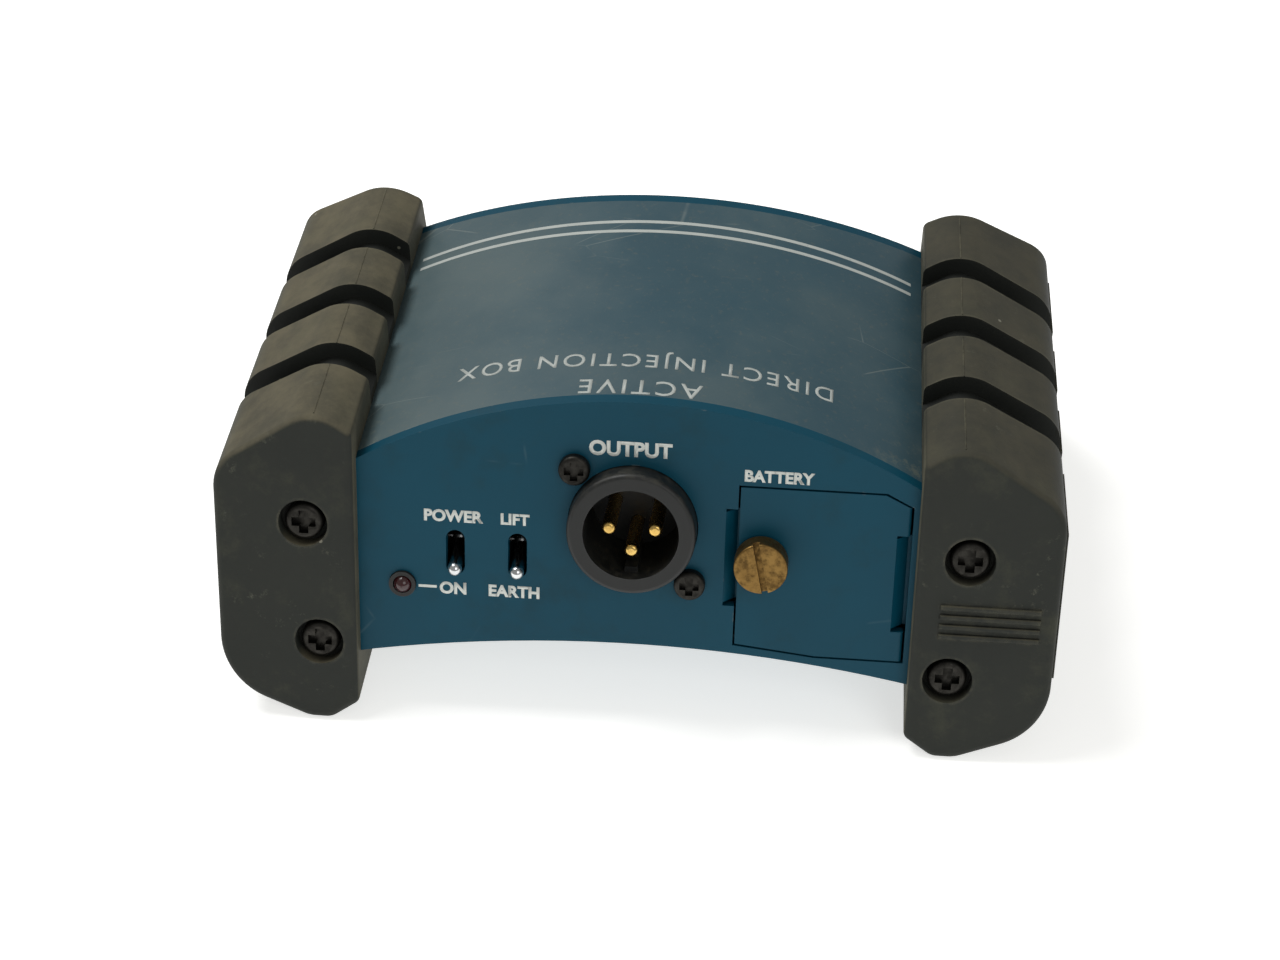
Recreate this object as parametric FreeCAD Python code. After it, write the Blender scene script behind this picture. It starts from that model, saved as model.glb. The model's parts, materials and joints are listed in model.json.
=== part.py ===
import FreeCAD, Part

import math
import os

from FreeCAD import Placement, Rotation, Vector

# Direct injection box: an arched metal case between two rubber bumpers.
# Frame: +X to the right as seen from the output side, -Y towards the output side, +Z up,
# origin at the middle of the rest plane. Millimetres throughout.
#
# Each end panel lies in its own panel frame: x across the panel, y up its slope, z outwards.
# Its z = 0 plane is the bumpers' end face, and its origin is on the rest plane.

# ---- driving dimensions -------------------------------------------------------------------
HALF_WIDTH = 72.5            # centre plane to a bumper's outer face
FOOT_DEPTH = 105.5           # distance between the two end faces, at the rest plane
END_RAKE = 16.8              # both end faces lean back by this many degrees

# case
ARCH_TOP = 59.0              # highest point of the roof
ARCH_DROP = 12.37            # how far it falls by the bumpers' inner faces
BELLY_TOP = 15.9             # highest point of the underside
BELLY_DROP = 4.38
CASE_IN_BUMPER = 14.0        # the case reaches this far into each bumper
LEG_IN_BUMPER = 2.0          # outside this, inside the bumpers, it reaches lower
LEG_BOTTOM = 6.5
LEG_LAP = 8.0                # the leg runs this far up into the side wall
CASE_WALL = 2.0
CASE_EDGE_GAP = 0.1          # ribs and bosses stop this far inside the outer surface
BOARD_RIB_WIDTH = 4.0
BOSS_RADIUS = 3.6
BOSS_LENGTH = 10.0

# bumpers
BUMPER_WIDTH = 24.5
BUMPER_TOP = 55.4
CREST_IN_BUMPER = 6.6        # inner face to the crest
INNER_SHOULDER_ANGLE = 33.0  # slope of the top from the crest to the inner face
SHOULDER_ANGLE = 31.0        # and to the outer face
TOE_IN_BUMPER = (5.0, 9.0)   # inner face to both sides of the level foot
INNER_HEEL_ANGLE = 34.0      # slope beyond the level foot, to the inner face
HEEL_ANGLE = 21.0            # and to the outer face
CREST_RADIUS = 8.0
SHOULDER_RADIUS = 8.0
TOE_RADII = (3.0, 6.0)
HEEL_RADIUS = 12.0
INNER_EDGE_RADIUS = 1.6
END_EDGE_RADIUS = 1.2
GROOVE_PITCH = 17.9
GROOVE_WIDTH = 6.0
GROOVE_DEPTH = 3.2
GROOVE_END_Z = 36.0          # the grooves stop here on the outer face
PAD_PROUD = 0.6
PAD_TOP_Z = 40.0
PAD_BOTTOM_Z = 14.0
PAD_END_GAP = 3.5            # the side pads stop this far from the end faces
RIB_PLACE = (13.0, 27.0)     # raised ribs on one end face: from the inner face, and up the slope
RIB_LENGTH = 17.0
RIB_WIDTH = 0.9
RIB_PITCH = 1.8
RIB_COUNT = 4
RIB_PROUD = 0.5
RUBBER_GAP = 0.2             # rubber to metal, all round

# bumper screws: from the bumper's inner face, and up the slope
UPPER_SCREW = (8.9, 38.2)
LOWER_SCREW = (6.7, 15.7)
SCREW_RADIUS = 1.5
SCREW_LENGTH = 11.0
SCREW_HEAD_RADIUS = 3.4
SCREW_HEAD_HEIGHT = 2.4
COUNTERBORE_RADIUS = 4.3
COUNTERBORE_DEPTH = 3.0
THREAD_GAP = 0.05
SHANK_GAP = 0.2
HEAD_ROUND = 0.4             # share of a screw head's height that is rounded off
RECESS_REACH = 0.62          # cross recess: shares of the head's radius, then of its height
RECESS_ARM = 0.24
RECESS_DEPTH = 0.55

# panels
PANEL_SETBACK = 3.0          # bumper end face to panel face
PANEL_THICKNESS = 2.0
PANEL_IN_BUMPER = 2.2        # each panel edge reaches this far behind the bumper's inner face

# battery door, in the panel frame
DOOR_INSET = 1.3             # right edge to the bumper's inner face
DOOR_WIDTH = 28.9
DOOR_TOP = 48.3
DOOR_BOTTOM = 17.3
DOOR_BOTTOM_RISE = 1.5       # the lower left corner sits this much higher
DOOR_BEND = 15.0             # the lower edge bends this far from the right edge
DOOR_EDGE_RADIUS = 0.6       # round front edge that the door turns on
DOOR_CHAMFER = (4.5, 2.2)
DOOR_GAP = 0.35
TONGUE_LOW, TONGUE_HIGH = 26.6, 43.6
TONGUE_LENGTH = 10.9
TAB_LOW, TAB_HIGH = 23.5, 40.4
TAB_REACH = 2.7              # tab beyond the door's right edge
JOGGLE_GAP = 0.2             # between a joggled piece and the sheet in front of it
JOGGLE_RUN = 2.0
JOGGLE_SLANT = 0.7           # the back corner of the bend is this much nearer the sheet
JOGGLE_SLIT = 0.6

# thumbscrew, in the panel frame
THUMB_IN_DOOR = 4.0          # from the door's left edge
THUMB_Y = 35.2
THUMB_RADIUS = 4.6
THUMB_HEAD_TOP = 1.3         # above the bumper end face
THUMB_SLOT_WIDTH = 1.1
THUMB_SLOT_DEPTH = 1.3
THUMB_SLOT_ANGLE = 12.0
THUMB_EDGE_RADIUS = 0.4
THUMB_SHAFT_RADIUS = 2.0
THUMB_SHAFT_IN_NUT = 2.8     # below the tongue's front
THUMB_NUT_BEYOND = 0.2       # the nut reaches this far past the shaft
THUMB_WASHER_THICKNESS = 0.6
THUMB_WASHER_RADIUS = 3.9
THUMB_NUT_RADIUS = 3.2
THUMB_NUT_FLANGE_RADIUS = 4.2
THUMB_THREAD_GAP = 0.45      # lets the shaft tilt out with the door
RUNNING_GAP = 0.05

# XLR connectors, in the panel frame
OUTPUT_XLR = (-0.4, 40.0)    # middle of the ring
INPUT_XLR = (-14.0, 40.0)
XLR_RING_RADIUS = 11.05
XLR_BODY_RADIUS = 10.0
XLR_FRONT = 1.0              # ring above the bumper end face
XLR_REAR = 19.0
XLR_MALE_BORE = 8.2
XLR_MALE_FLOOR = 14.0
XLR_FEMALE_BORE = 9.65
XLR_FEMALE_INSERT = 7.6
XLR_FLANGE_MARGIN = 3.1      # flange edge beyond a screw
XLR_FLANGE_THICKNESS = 2.0
XLR_SCREW_SPREAD = 3.2       # screw axis to the ring's edge
XLR_RING_EDGE_RADIUS = 0.8
XLR_PIN_PITCH = 3.96
XLR_PIN_RADIUS = 1.2
XLR_PIN_TIP = 1.2
XLR_PIN_END_RADIUS = 0.7
XLR_TAIL_LENGTH = 3.0
XLR_KEY_WIDTH = 2.2
XLR_KEY_HEIGHT = 1.0
XLR_KEY_SUNK = 0.3           # the key's root in the shell's wall
XLR_KEY_SETBACK = 3.0
XLR_INSERT_SETBACK = 1.5
XLR_INSERT_EDGE_RADIUS = 0.5
XLR_CUP_OUTER = 1.55
XLR_CUP_BORE = 1.25
XLR_CUP_FRONT = 1.5
XLR_CUP_FLOOR = 1.0          # solid length at a cup's root
XLR_TAIL_RADIUS = 0.85
XLR_CONTACT_GAP = 0.05
XLR_CONTACT_RISE = 0.6       # the female contacts sit this much higher than the ring's middle
XLR_SCREW_HEAD_RADIUS = 2.7
XLR_SCREW_HEAD_HEIGHT = 1.7
XLR_SCREW_RADIUS = 1.45
XLR_NUT_RADIUS = 2.9
XLR_NUT_HEIGHT = 2.2
XLR_SCREW_BEYOND = 0.6       # screw past its nut
XLR_HOLE_GAP = 0.15
LATCH_WIDTH = 5.0
LATCH_HEIGHT = 2.6
LATCH_TRAVEL = 1.2
LATCH_PROUD = 1.8
LATCH_LENGTH = 9.0
LATCH_REAR_GAP = 0.3         # left behind the latch when it is pushed right in
LATCH_EDGE_RADIUS = 0.4
LATCH_SIDE_WALL = 1.2
LATCH_TOP_WALL = 1.3
LATCH_FLOOR = 0.9            # shell between the socket's bore and the latch

# jack sockets, in the panel frame
JACK_PLACES = {"input": (12.0, 40.0), "link": (33.0, 37.0)}
JACK_BORE = 3.25
JACK_BUSH_RADIUS = 4.7
JACK_BUSH_PROUD = 4.4        # above the panel face
JACK_BODY_HALF = 7.5
JACK_BODY_LENGTH = 20.0
JACK_GUIDE_LENGTH = 8.0      # length of the close bore inside the body
JACK_CHAMBER_HALF = 6.0
JACK_NUT_AF = 12.7
JACK_NUT_HEIGHT = 2.6
JACK_BACK_WALL = 1.2
JACK_BLADES = {0: 8.5, 120: 6.0, 240: 4.0}      # angle round the bore: length
JACK_BLADE_WIDTH = 2.0
JACK_BLADE_SHEET = 0.5
JACK_BLADE_GAP = 0.6         # blade to the bore's line

# lever switches, in the panel frame
SWITCH_Y = 33.1
EARTH_SWITCH_GAP = 2.0       # switch body to the output connector's flange
PAD_SWITCH_GAP = 1.2         # switch body to the input connector's flange
OUTPUT_SWITCH_PITCH = 10.8
PAD_SWITCH_PITCH = 10.3
SLOT_WIDTH = 3.3
SLOT_HEIGHT = 8.4
SWITCH_HALF_X = 4.6
SWITCH_HALF_Y = 6.4
SWITCH_DEPTH = 10.5
SWITCH_CAVITY_X = 2.0
SWITCH_CAVITY_Y = 5.0
SWITCH_CAVITY_DEPTH = 8.0
LEVER_PIVOT = 5.0            # behind the panel's inner face
LEVER_BALL = 1.6
LEVER_TIP_RADIUS = 1.25
LEVER_NECK_RADIUS = 0.85
LEVER_REACH = 8.2            # pivot to the middle of the tip
LEVER_ANGLE = 20.0           # to each side of straight out
LEVER_PIN_RADIUS = 0.5
LEVER_PIN_INSET = 0.4        # pin end to the body's side
LEVER_PIN_END_GAP = 0.1

# status light, in the panel frame
LED_SPREAD = 9.3             # to the left of the power switch
LED_Y = 26.6
LED_BEZEL_RADIUS = 2.35
LED_LENS_RADIUS = 1.6
LED_BEZEL_PROUD = 0.6
LED_COLLAR_WIDTH = 1.2
LED_COLLAR_LENGTH = 2.0
LED_LENGTH = 6.0

# inside
BOARD_CASE_GAP = 5.0         # board edge to the case's outer side
BOARD_BATTERY_GAP = 7.2
BOARD_END_SETBACK = 21.75    # board edge to the end face, at the rest plane
BOARD_FLOOR_GAP = 0.7
BOARD_THICKNESS = 1.6
BOARD_SCREW_INSETS = (11.0, 4.0)    # from the board's left and right edges
BOARD_SCREW_END_INSET = 5.0
CORE_PLACE = (-34.5, -3.0)   # middle of the transformer
CORE_SIZE = (19.0, 18.0, 16.0)
CORE_LIMB = 4.0              # metal round the coil's window
COIL_GAP = 0.1
COIL_BEYOND = 2.5            # the coil and its cheeks reach this far past the core
CHEEK_MARGIN = 2.0           # cheek beyond the coil, across
CHEEK_INSET = 1.0            # cheek to the core's top and bottom
TALL_CAN_PLACES = ((-18.0, -6.0), (-18.0, 4.0), (-8.0, -6.0))
TALL_CAN_RADIUS = 3.6
TALL_CAN_HEIGHT = 12.0
FILM_CAN_X = 8.0
FILM_CAN_PITCH = 8.0
FILM_CAN_SIZE = (8.0, 4.4, 8.0)
CHIP_X = -8.0
CHIP_Y = (6.0, 14.0)
CHIP_SIZE = (10.0, 6.4, 3.6)
RESISTOR_RADIUS = 1.2
RESISTOR_LENGTH = 6.5
RESISTOR_INSET = 2.0         # from the board's left edge
RESISTOR_PITCH = 8.0
RESISTOR_COUNT = 5
SMALL_SCREW_RADIUS = 1.25
SMALL_SCREW_HEAD_RADIUS = 2.3
SMALL_SCREW_HEAD_HEIGHT = 1.2
SMALL_SCREW_LENGTH = 5.0
BATTERY_SIZE = (17.5, 48.5, 26.5)
BATTERY_IN_DOOR = 19.5       # battery's left side to the door's right edge
BATTERY_SETBACK = 20.25      # battery's front to the end face, at the rest plane
BATTERY_TERMINAL_RADII = (3.0, 2.6)
BATTERY_TERMINAL_HEIGHT = 2.5
BATTERY_TERMINAL_PITCH = 12.7
SNAP_SIZE = (11.0, 3.0, 24.0)
SNAP_EDGE_RADIUS = 1.0
LEAD_PITCH = 8.0
LEAD_LANDINGS = (2.0, 5.0)   # from the board's right edge
BATTERY_EDGE_RADIUS = 1.5
BATTERY_GAP = 0.4
LEAD_RADIUS = 0.7
LEAD_BEND = 4.0
TRAY_FLOOR_GAP = 0.2
TRAY_SHEET = 0.8
TRAY_WALL_HEIGHT = 19.2
TRAY_OPEN_LENGTH = 3.0       # battery beyond the tray, at its terminals
PAD_THICKNESS = 1.4
PAD_HOLE_GAP = 0.3
TRAY_RIB_WIDTH = 6.0
TRAY_SCREWS_AT = (12.5, 40.5)       # from the battery's front

# ---- values that follow -------------------------------------------------------------------
BUMPER_INNER_X = HALF_WIDTH - BUMPER_WIDTH
CASE_HALF_WIDTH = BUMPER_INNER_X + CASE_IN_BUMPER
LEG_INNER_X = BUMPER_INNER_X + LEG_IN_BUMPER
PANEL_HALF_WIDTH = BUMPER_INNER_X + PANEL_IN_BUMPER
ARCH_RADIUS = (BUMPER_INNER_X ** 2 + ARCH_DROP ** 2) / (2 * ARCH_DROP)
BELLY_RADIUS = (BUMPER_INNER_X ** 2 + BELLY_DROP ** 2) / (2 * BELLY_DROP)
PANEL_FACE = -PANEL_SETBACK
PANEL_BACK = PANEL_FACE - PANEL_THICKNESS
FLANGE_THICKNESS = PANEL_SETBACK + PANEL_THICKNESS      # rubber over the end of the case
CASE_END = PANEL_BACK
DOOR_RIGHT = BUMPER_INNER_X - DOOR_INSET
DOOR_LEFT = DOOR_RIGHT - DOOR_WIDTH
DOOR_BEND_X = DOOR_RIGHT - DOOR_BEND
TONGUE_FRONT = PANEL_BACK - JOGGLE_GAP
THUMB_AXIS = (DOOR_LEFT + THUMB_IN_DOOR, THUMB_Y)
THUMB_SHAFT_END = TONGUE_FRONT - THUMB_SHAFT_IN_NUT
XLR_SCREW_OFFSET = (XLR_RING_RADIUS + XLR_SCREW_SPREAD) * math.sqrt(0.5)
XLR_FLANGE_HALF = XLR_SCREW_OFFSET + XLR_FLANGE_MARGIN
EARTH_X = OUTPUT_XLR[0] - XLR_FLANGE_HALF - EARTH_SWITCH_GAP - SWITCH_HALF_X
POWER_X = EARTH_X - OUTPUT_SWITCH_PITCH
PAD_20_X = INPUT_XLR[0] - XLR_FLANGE_HALF - PAD_SWITCH_GAP - SWITCH_HALF_X
SWITCHES = {
    "power": ("output", (POWER_X, SWITCH_Y)),
    "earth": ("output", (EARTH_X, SWITCH_Y)),
    "pad_20": ("input", (PAD_20_X, SWITCH_Y)),
    "pad_40": ("input", (PAD_20_X - PAD_SWITCH_PITCH, SWITCH_Y)),
}
LED_PLACE = (POWER_X - LED_SPREAD, LED_Y)
BATTERY_X = DOOR_RIGHT - BATTERY_IN_DOOR
BATTERY_FRONT_Y = BATTERY_SETBACK - FOOT_DEPTH / 2
BOARD_X = (BOARD_CASE_GAP - CASE_HALF_WIDTH, BATTERY_X - BOARD_BATTERY_GAP)
BOARD_HALF_Y = FOOT_DEPTH / 2 - BOARD_END_SETBACK
BOARD_BOTTOM = BELLY_TOP + CASE_WALL + BOARD_FLOOR_GAP
BOARD_TOP = BOARD_BOTTOM + BOARD_THICKNESS
BOARD_RIB_X = (BOARD_X[0] + BOARD_SCREW_INSETS[0], BOARD_X[1] - BOARD_SCREW_INSETS[1])
BOARD_SCREW_Y = BOARD_HALF_Y - BOARD_SCREW_END_INSET
LONG = 2.0 * FOOT_DEPTH      # longer than anything here

X_AXIS = Vector(1, 0, 0)
Y_AXIS = Vector(0, 1, 0)
Z_AXIS = Vector(0, 0, 1)
OUTPUT_POSE = Placement(Vector(0, -FOOT_DEPTH / 2, 0), Rotation(X_AXIS, 90 - END_RAKE))
INPUT_POSE = Placement(Vector(), Rotation(Z_AXIS, 180)).multiply(OUTPUT_POSE)
POSES = {"output": OUTPUT_POSE, "input": INPUT_POSE}

nodes = {}


# ---- small helpers ------------------------------------------------------------------------
def keep(name, shape):
    """Store one node; a list becomes one group of separate solids."""
    nodes[name] = Part.makeCompound(shape) if isinstance(shape, list) else shape


def block(low, high):
    size = [high[i] - low[i] for i in range(3)]
    return Part.makeBox(size[0], size[1], size[2], Vector(*low))


def rod(x, y, z_low, z_high, radius):
    """A cylinder along the z axis of its own frame."""
    return Part.makeCylinder(radius, z_high - z_low, Vector(x, y, z_low), Z_AXIS)


def tube(x, y, z_low, z_high, outer, inner):
    return rod(x, y, z_low, z_high, outer).cut(rod(x, y, z_low - 1, z_high + 1, inner))


def hexagon(x, y, z_low, z_high, across_flats):
    """A hexagonal prism along z."""
    corner = across_flats / math.sqrt(3)
    points = []
    for step in range(7):
        angle = math.radians(60 * step)
        points.append(Vector(x + corner * math.cos(angle), y + corner * math.sin(angle), z_low))
    return Part.Face(Part.makePolygon(points)).extrude(Vector(0, 0, z_high - z_low))


def prism(points, low, high, axis):
    """A straight prism over a closed outline of (first, second) pairs.

    The axis is 'x', 'y' or 'z', and the pairs are the other two coordinates in X, Y, Z order.
    """
    place = {
        "x": lambda a, b: Vector(low, a, b),
        "y": lambda a, b: Vector(a, low, b),
        "z": lambda a, b: Vector(a, b, low),
    }[axis]
    run = {"x": X_AXIS, "y": Y_AXIS, "z": Z_AXIS}[axis] * (high - low)
    corners = [place(a, b) for a, b in points]
    return Part.Face(Part.makePolygon(corners + corners[:1])).extrude(run)


def placed(shape, pose):
    moved = shape.copy()
    moved.Placement = pose.multiply(shape.Placement)
    return moved


def mirrored(shape):
    return shape.mirror(Vector(), X_AXIS)


def fillet_where(shape, radius, chosen):
    edges = [edge for edge in shape.Edges if chosen(edge)]
    return shape.makeFillet(radius, edges) if edges else shape


def rounded_outline(corners, y):
    """A closed wire in the plane at y through (x, z, radius) corners, each with its own arc."""
    count = len(corners)
    starts, arcs = [], []
    for i, (x, z, radius) in enumerate(corners):
        here = Vector(x, y, z)
        before = Vector(corners[i - 1][0], y, corners[i - 1][1]) - here
        after = Vector(corners[(i + 1) % count][0], y, corners[(i + 1) % count][1]) - here
        before.normalize()
        after.normalize()
        half = before.getAngle(after) / 2
        reach = radius / math.tan(half)
        middle = before + after
        middle.normalize()
        centre = here + middle * (radius / math.sin(half))
        first, last = here + before * reach, here + after * reach
        arcs.append(Part.Arc(first, centre - middle * radius, last).toShape())
        starts.append((first, last))
    edges = []
    for i in range(count):
        edges.append(arcs[i])
        edges.append(Part.makeLine(starts[i][1], starts[(i + 1) % count][0]))
    return Part.Wire(edges)


def arch_z(x, inset=0.0):
    """Height of the roof at x, or of the surface that lies inset below it."""
    return ARCH_TOP - ARCH_RADIUS + math.sqrt((ARCH_RADIUS - inset) ** 2 - x ** 2)


def belly_z(x, inset=0.0):
    """Height of the underside at x, or of the surface that lies inset above it."""
    return BELLY_TOP - BELLY_RADIUS + math.sqrt((BELLY_RADIUS + inset) ** 2 - x ** 2)


def case_section(inset, y_low, y_high):
    """The case's cross-section as a solid bar, shrunk by inset, or grown if it is negative."""
    half = CASE_HALF_WIDTH - inset
    low_left = Vector(-half, y_low, belly_z(half, inset))
    low_right = Vector(half, y_low, belly_z(half, inset))
    high_right = Vector(half, y_low, arch_z(half, inset))
    high_left = Vector(-half, y_low, arch_z(half, inset))
    edges = [
        Part.Arc(low_left, Vector(0, y_low, belly_z(0, inset)), low_right).toShape(),
        Part.makeLine(low_right, high_right),
        Part.Arc(high_right, Vector(0, y_low, arch_z(0, inset)), high_left).toShape(),
        Part.makeLine(high_left, low_left),
    ]
    bar = Part.Face(Part.Wire(edges)).extrude(Vector(0, y_high - y_low, 0))
    leg = block(
        (LEG_INNER_X + inset, y_low, LEG_BOTTOM + inset),
        (half, y_high, belly_z(half) + LEG_LAP),
    )
    return bar.fuse(leg).fuse(mirrored(leg)).removeSplitter()


def between_ends(depth):
    """A wedge that reaches from one end plane to the other, each moved inwards by depth."""
    lean = math.tan(math.radians(END_RAKE))
    half = FOOT_DEPTH / 2 - depth / math.cos(math.radians(END_RAKE))
    top = 2 * ARCH_TOP
    bottom = -ARCH_TOP
    outline = [
        (-half + bottom * lean, bottom),
        (half - bottom * lean, bottom),
        (half - top * lean, top),
        (-half + top * lean, top),
    ]
    return prism(outline, -2 * HALF_WIDTH, 2 * HALF_WIDTH, "x")


def screw(x, y, head_bottom, head_radius, head_height, radius, length):
    """A pan-head screw along z, its head up, with a cross recess."""
    head = rod(x, y, head_bottom, head_bottom + head_height, head_radius)
    top = head_bottom + head_height
    head = fillet_where(head, HEAD_ROUND * head_height, lambda edge: abs(edge.CenterOfMass.z - top) < 1e-6)
    wide = RECESS_REACH * head_radius
    thick = RECESS_ARM * head_radius
    floor = top - RECESS_DEPTH * head_height
    cross = block((x - wide, y - thick, floor), (x + wide, y + thick, top + 1))
    cross = cross.fuse(block((x - thick, y - wide, floor), (x + thick, y + wide, top + 1)))
    return head.fuse(rod(x, y, head_bottom - length, head_bottom, radius)).cut(cross)


# ---- case ---------------------------------------------------------------------------------
def bumper_screw_places():
    for inwards, y in (UPPER_SCREW, LOWER_SCREW):
        yield BUMPER_INNER_X + inwards, y
        yield -BUMPER_INNER_X - inwards, y


def tray_base_z():
    """Underside of the battery tray: just over the case's floor at the tray's left edge."""
    left = BATTERY_X - BATTERY_GAP - TRAY_SHEET
    return belly_z(left, CASE_WALL) + TRAY_FLOOR_GAP


def tray_screw_places():
    middle = BATTERY_X + BATTERY_SIZE[0] / 2
    return [(middle, BATTERY_FRONT_Y + along) for along in TRAY_SCREWS_AT]


def make_case():
    inside_case = case_section(CASE_EDGE_GAP, -LONG, LONG)
    shell = case_section(0, -LONG, LONG).cut(case_section(CASE_WALL, -LONG - 1, LONG + 1))
    for rib_x in BOARD_RIB_X:
        half = BOARD_RIB_WIDTH / 2
        rib = block((rib_x - half, -BOARD_HALF_Y, LEG_BOTTOM), (rib_x + half, BOARD_HALF_Y, BOARD_BOTTOM))
        shell = shell.fuse(rib.common(inside_case))
    tray_x = BATTERY_X + BATTERY_SIZE[0] / 2
    rib = block(
        (tray_x - TRAY_RIB_WIDTH / 2, BATTERY_FRONT_Y, LEG_BOTTOM),
        (tray_x + TRAY_RIB_WIDTH / 2, BATTERY_FRONT_Y + BATTERY_SIZE[1], tray_base_z()),
    )
    shell = shell.fuse(rib.common(inside_case))
    for pose in POSES.values():
        for x, y in bumper_screw_places():
            boss = rod(x, y, CASE_END - BOSS_LENGTH, CASE_END + 2, BOSS_RADIUS)
            shell = shell.fuse(placed(boss, pose).common(inside_case))
    shell = shell.common(between_ends(FLANGE_THICKNESS))
    for pose in POSES.values():
        for x, y in bumper_screw_places():
            bore = rod(x, y, CASE_END - BOSS_LENGTH - 1, CASE_END + 3, SCREW_RADIUS + THREAD_GAP)
            shell = shell.cut(placed(bore, pose))
    for rib_x in BOARD_RIB_X:
        for y in (-BOARD_SCREW_Y, BOARD_SCREW_Y):
            shell = shell.cut(small_screw_bore(rib_x, y, BOARD_TOP))
    for x, y in tray_screw_places():
        shell = shell.cut(small_screw_bore(x, y, tray_base_z() + TRAY_SHEET))
    keep("case_shell", shell.removeSplitter())


def small_screw_bore(x, y, head_bottom):
    depth = min(SMALL_SCREW_LENGTH, head_bottom - belly_z(x, CASE_WALL / 2)) + 0.2
    return rod(x, y, head_bottom - depth, head_bottom, SMALL_SCREW_RADIUS + THREAD_GAP)


def small_screw(x, y, head_bottom):
    length = min(SMALL_SCREW_LENGTH, head_bottom - belly_z(x, CASE_WALL / 2))
    return screw(
        x, y, head_bottom, SMALL_SCREW_HEAD_RADIUS, SMALL_SCREW_HEAD_HEIGHT, SMALL_SCREW_RADIUS, length
    )


# ---- bumpers ------------------------------------------------------------------------------
def corner_rise(radius, first_angle, second_angle):
    """How far the sharp corner of two slopes stands above the crest of its rounding."""
    tilt = math.radians((first_angle - second_angle) / 2)
    half = math.radians((first_angle + second_angle) / 2)
    return radius * (math.cos(tilt) / math.cos(half) - 1)


def bumper_outline(inset, y, inner_x, outer_x):
    """The bumper's cross-section on the +X side, shrunk by inset except at its inner face."""
    inner_shoulder = math.tan(math.radians(INNER_SHOULDER_ANGLE))
    shoulder = math.tan(math.radians(SHOULDER_ANGLE))
    inner_heel = math.tan(math.radians(INNER_HEEL_ANGLE))
    heel = math.tan(math.radians(HEEL_ANGLE))
    radius = CREST_RADIUS - inset
    crest_x = BUMPER_INNER_X + CREST_IN_BUMPER
    crest_z = BUMPER_TOP - inset + corner_rise(radius, INNER_SHOULDER_ANGLE, SHOULDER_ANGLE)
    inner_toe_x = BUMPER_INNER_X + TOE_IN_BUMPER[0]
    outer_toe_x = BUMPER_INNER_X + TOE_IN_BUMPER[1]
    outer = outer_x - inset
    corners = [
        (inner_x, inset + (inner_toe_x - inner_x) * inner_heel, INNER_EDGE_RADIUS),
        (inner_toe_x, inset, TOE_RADII[0]),
        (outer_toe_x, inset, TOE_RADII[1]),
        (outer, inset + (outer - outer_toe_x) * heel, HEEL_RADIUS),
        (outer, crest_z - (outer - crest_x) * shoulder, SHOULDER_RADIUS),
        (crest_x, crest_z, radius),
        (inner_x, crest_z - (crest_x - inner_x) * inner_shoulder, INNER_EDGE_RADIUS),
    ]
    return rounded_outline(corners, y)


def bumper_bar(inset, inner_x, outer_x):
    """A long bar with the bumper's cross-section."""
    face = Part.Face(bumper_outline(inset, -LONG, inner_x, outer_x))
    return face.extrude(Vector(0, 2 * LONG, 0))


def on_end_face(edge):
    """True for an edge that lies in one of the two end planes."""
    lean = math.tan(math.radians(END_RAKE))
    for vertex in edge.Vertexes:
        reach = FOOT_DEPTH / 2 - abs(vertex.Point.y)
        if abs(reach - vertex.Point.z * lean) > 1e-4:
            return False
    return True


def land_spans():
    """The y range of each of the four lands between the grooves, at rest-plane length."""
    edges = [-FOOT_DEPTH / 2]
    for step in (-1, 0, 1):
        edges += [step * GROOVE_PITCH - GROOVE_WIDTH / 2, step * GROOVE_PITCH + GROOVE_WIDTH / 2]
    edges.append(FOOT_DEPTH / 2)
    return list(zip(edges[0::2], edges[1::2]))


def make_bumper_blank():
    """The +X bumper with its grooves and side pads, before the pocket and the screw holes."""
    body = bumper_bar(0, BUMPER_INNER_X, HALF_WIDTH).common(between_ends(0))
    inner = BUMPER_INNER_X + 1e-3
    body = fillet_where(
        body,
        END_EDGE_RADIUS,
        lambda edge: on_end_face(edge) and edge.BoundBox.XMax > inner,
    )
    core = bumper_bar(GROOVE_DEPTH, BUMPER_INNER_X - 2 * INNER_EDGE_RADIUS, HALF_WIDTH)
    for step in (-1, 0, 1):
        middle = step * GROOVE_PITCH
        slab = block(
            (0, middle - GROOVE_WIDTH / 2, GROOVE_END_Z),
            (2 * HALF_WIDTH, middle + GROOVE_WIDTH / 2, 2 * BUMPER_TOP),
        )
        body = body.cut(slab.cut(core))
    pads = bumper_bar(0, BUMPER_INNER_X, HALF_WIDTH + PAD_PROUD).common(between_ends(PAD_END_GAP))
    for start, end in land_spans():
        low = (HALF_WIDTH - 2, start, PAD_BOTTOM_Z)
        body = body.fuse(pads.common(block(low, (2 * HALF_WIDTH, end, PAD_TOP_Z))))
    for number in range(RIB_COUNT):
        x = BUMPER_INNER_X + RIB_PLACE[0]
        y = RIB_PLACE[1] + (number - (RIB_COUNT - 1) / 2) * RIB_PITCH
        low = (x - RIB_LENGTH / 2, y - RIB_WIDTH / 2, -1)
        rib = block(low, (x + RIB_LENGTH / 2, y + RIB_WIDTH / 2, RIB_PROUD))
        rib = fillet_where(rib, RIB_WIDTH / 3, lambda edge: edge.BoundBox.ZMin > 0)
        body = body.fuse(placed(rib, OUTPUT_POSE))
    return body.removeSplitter()


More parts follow.
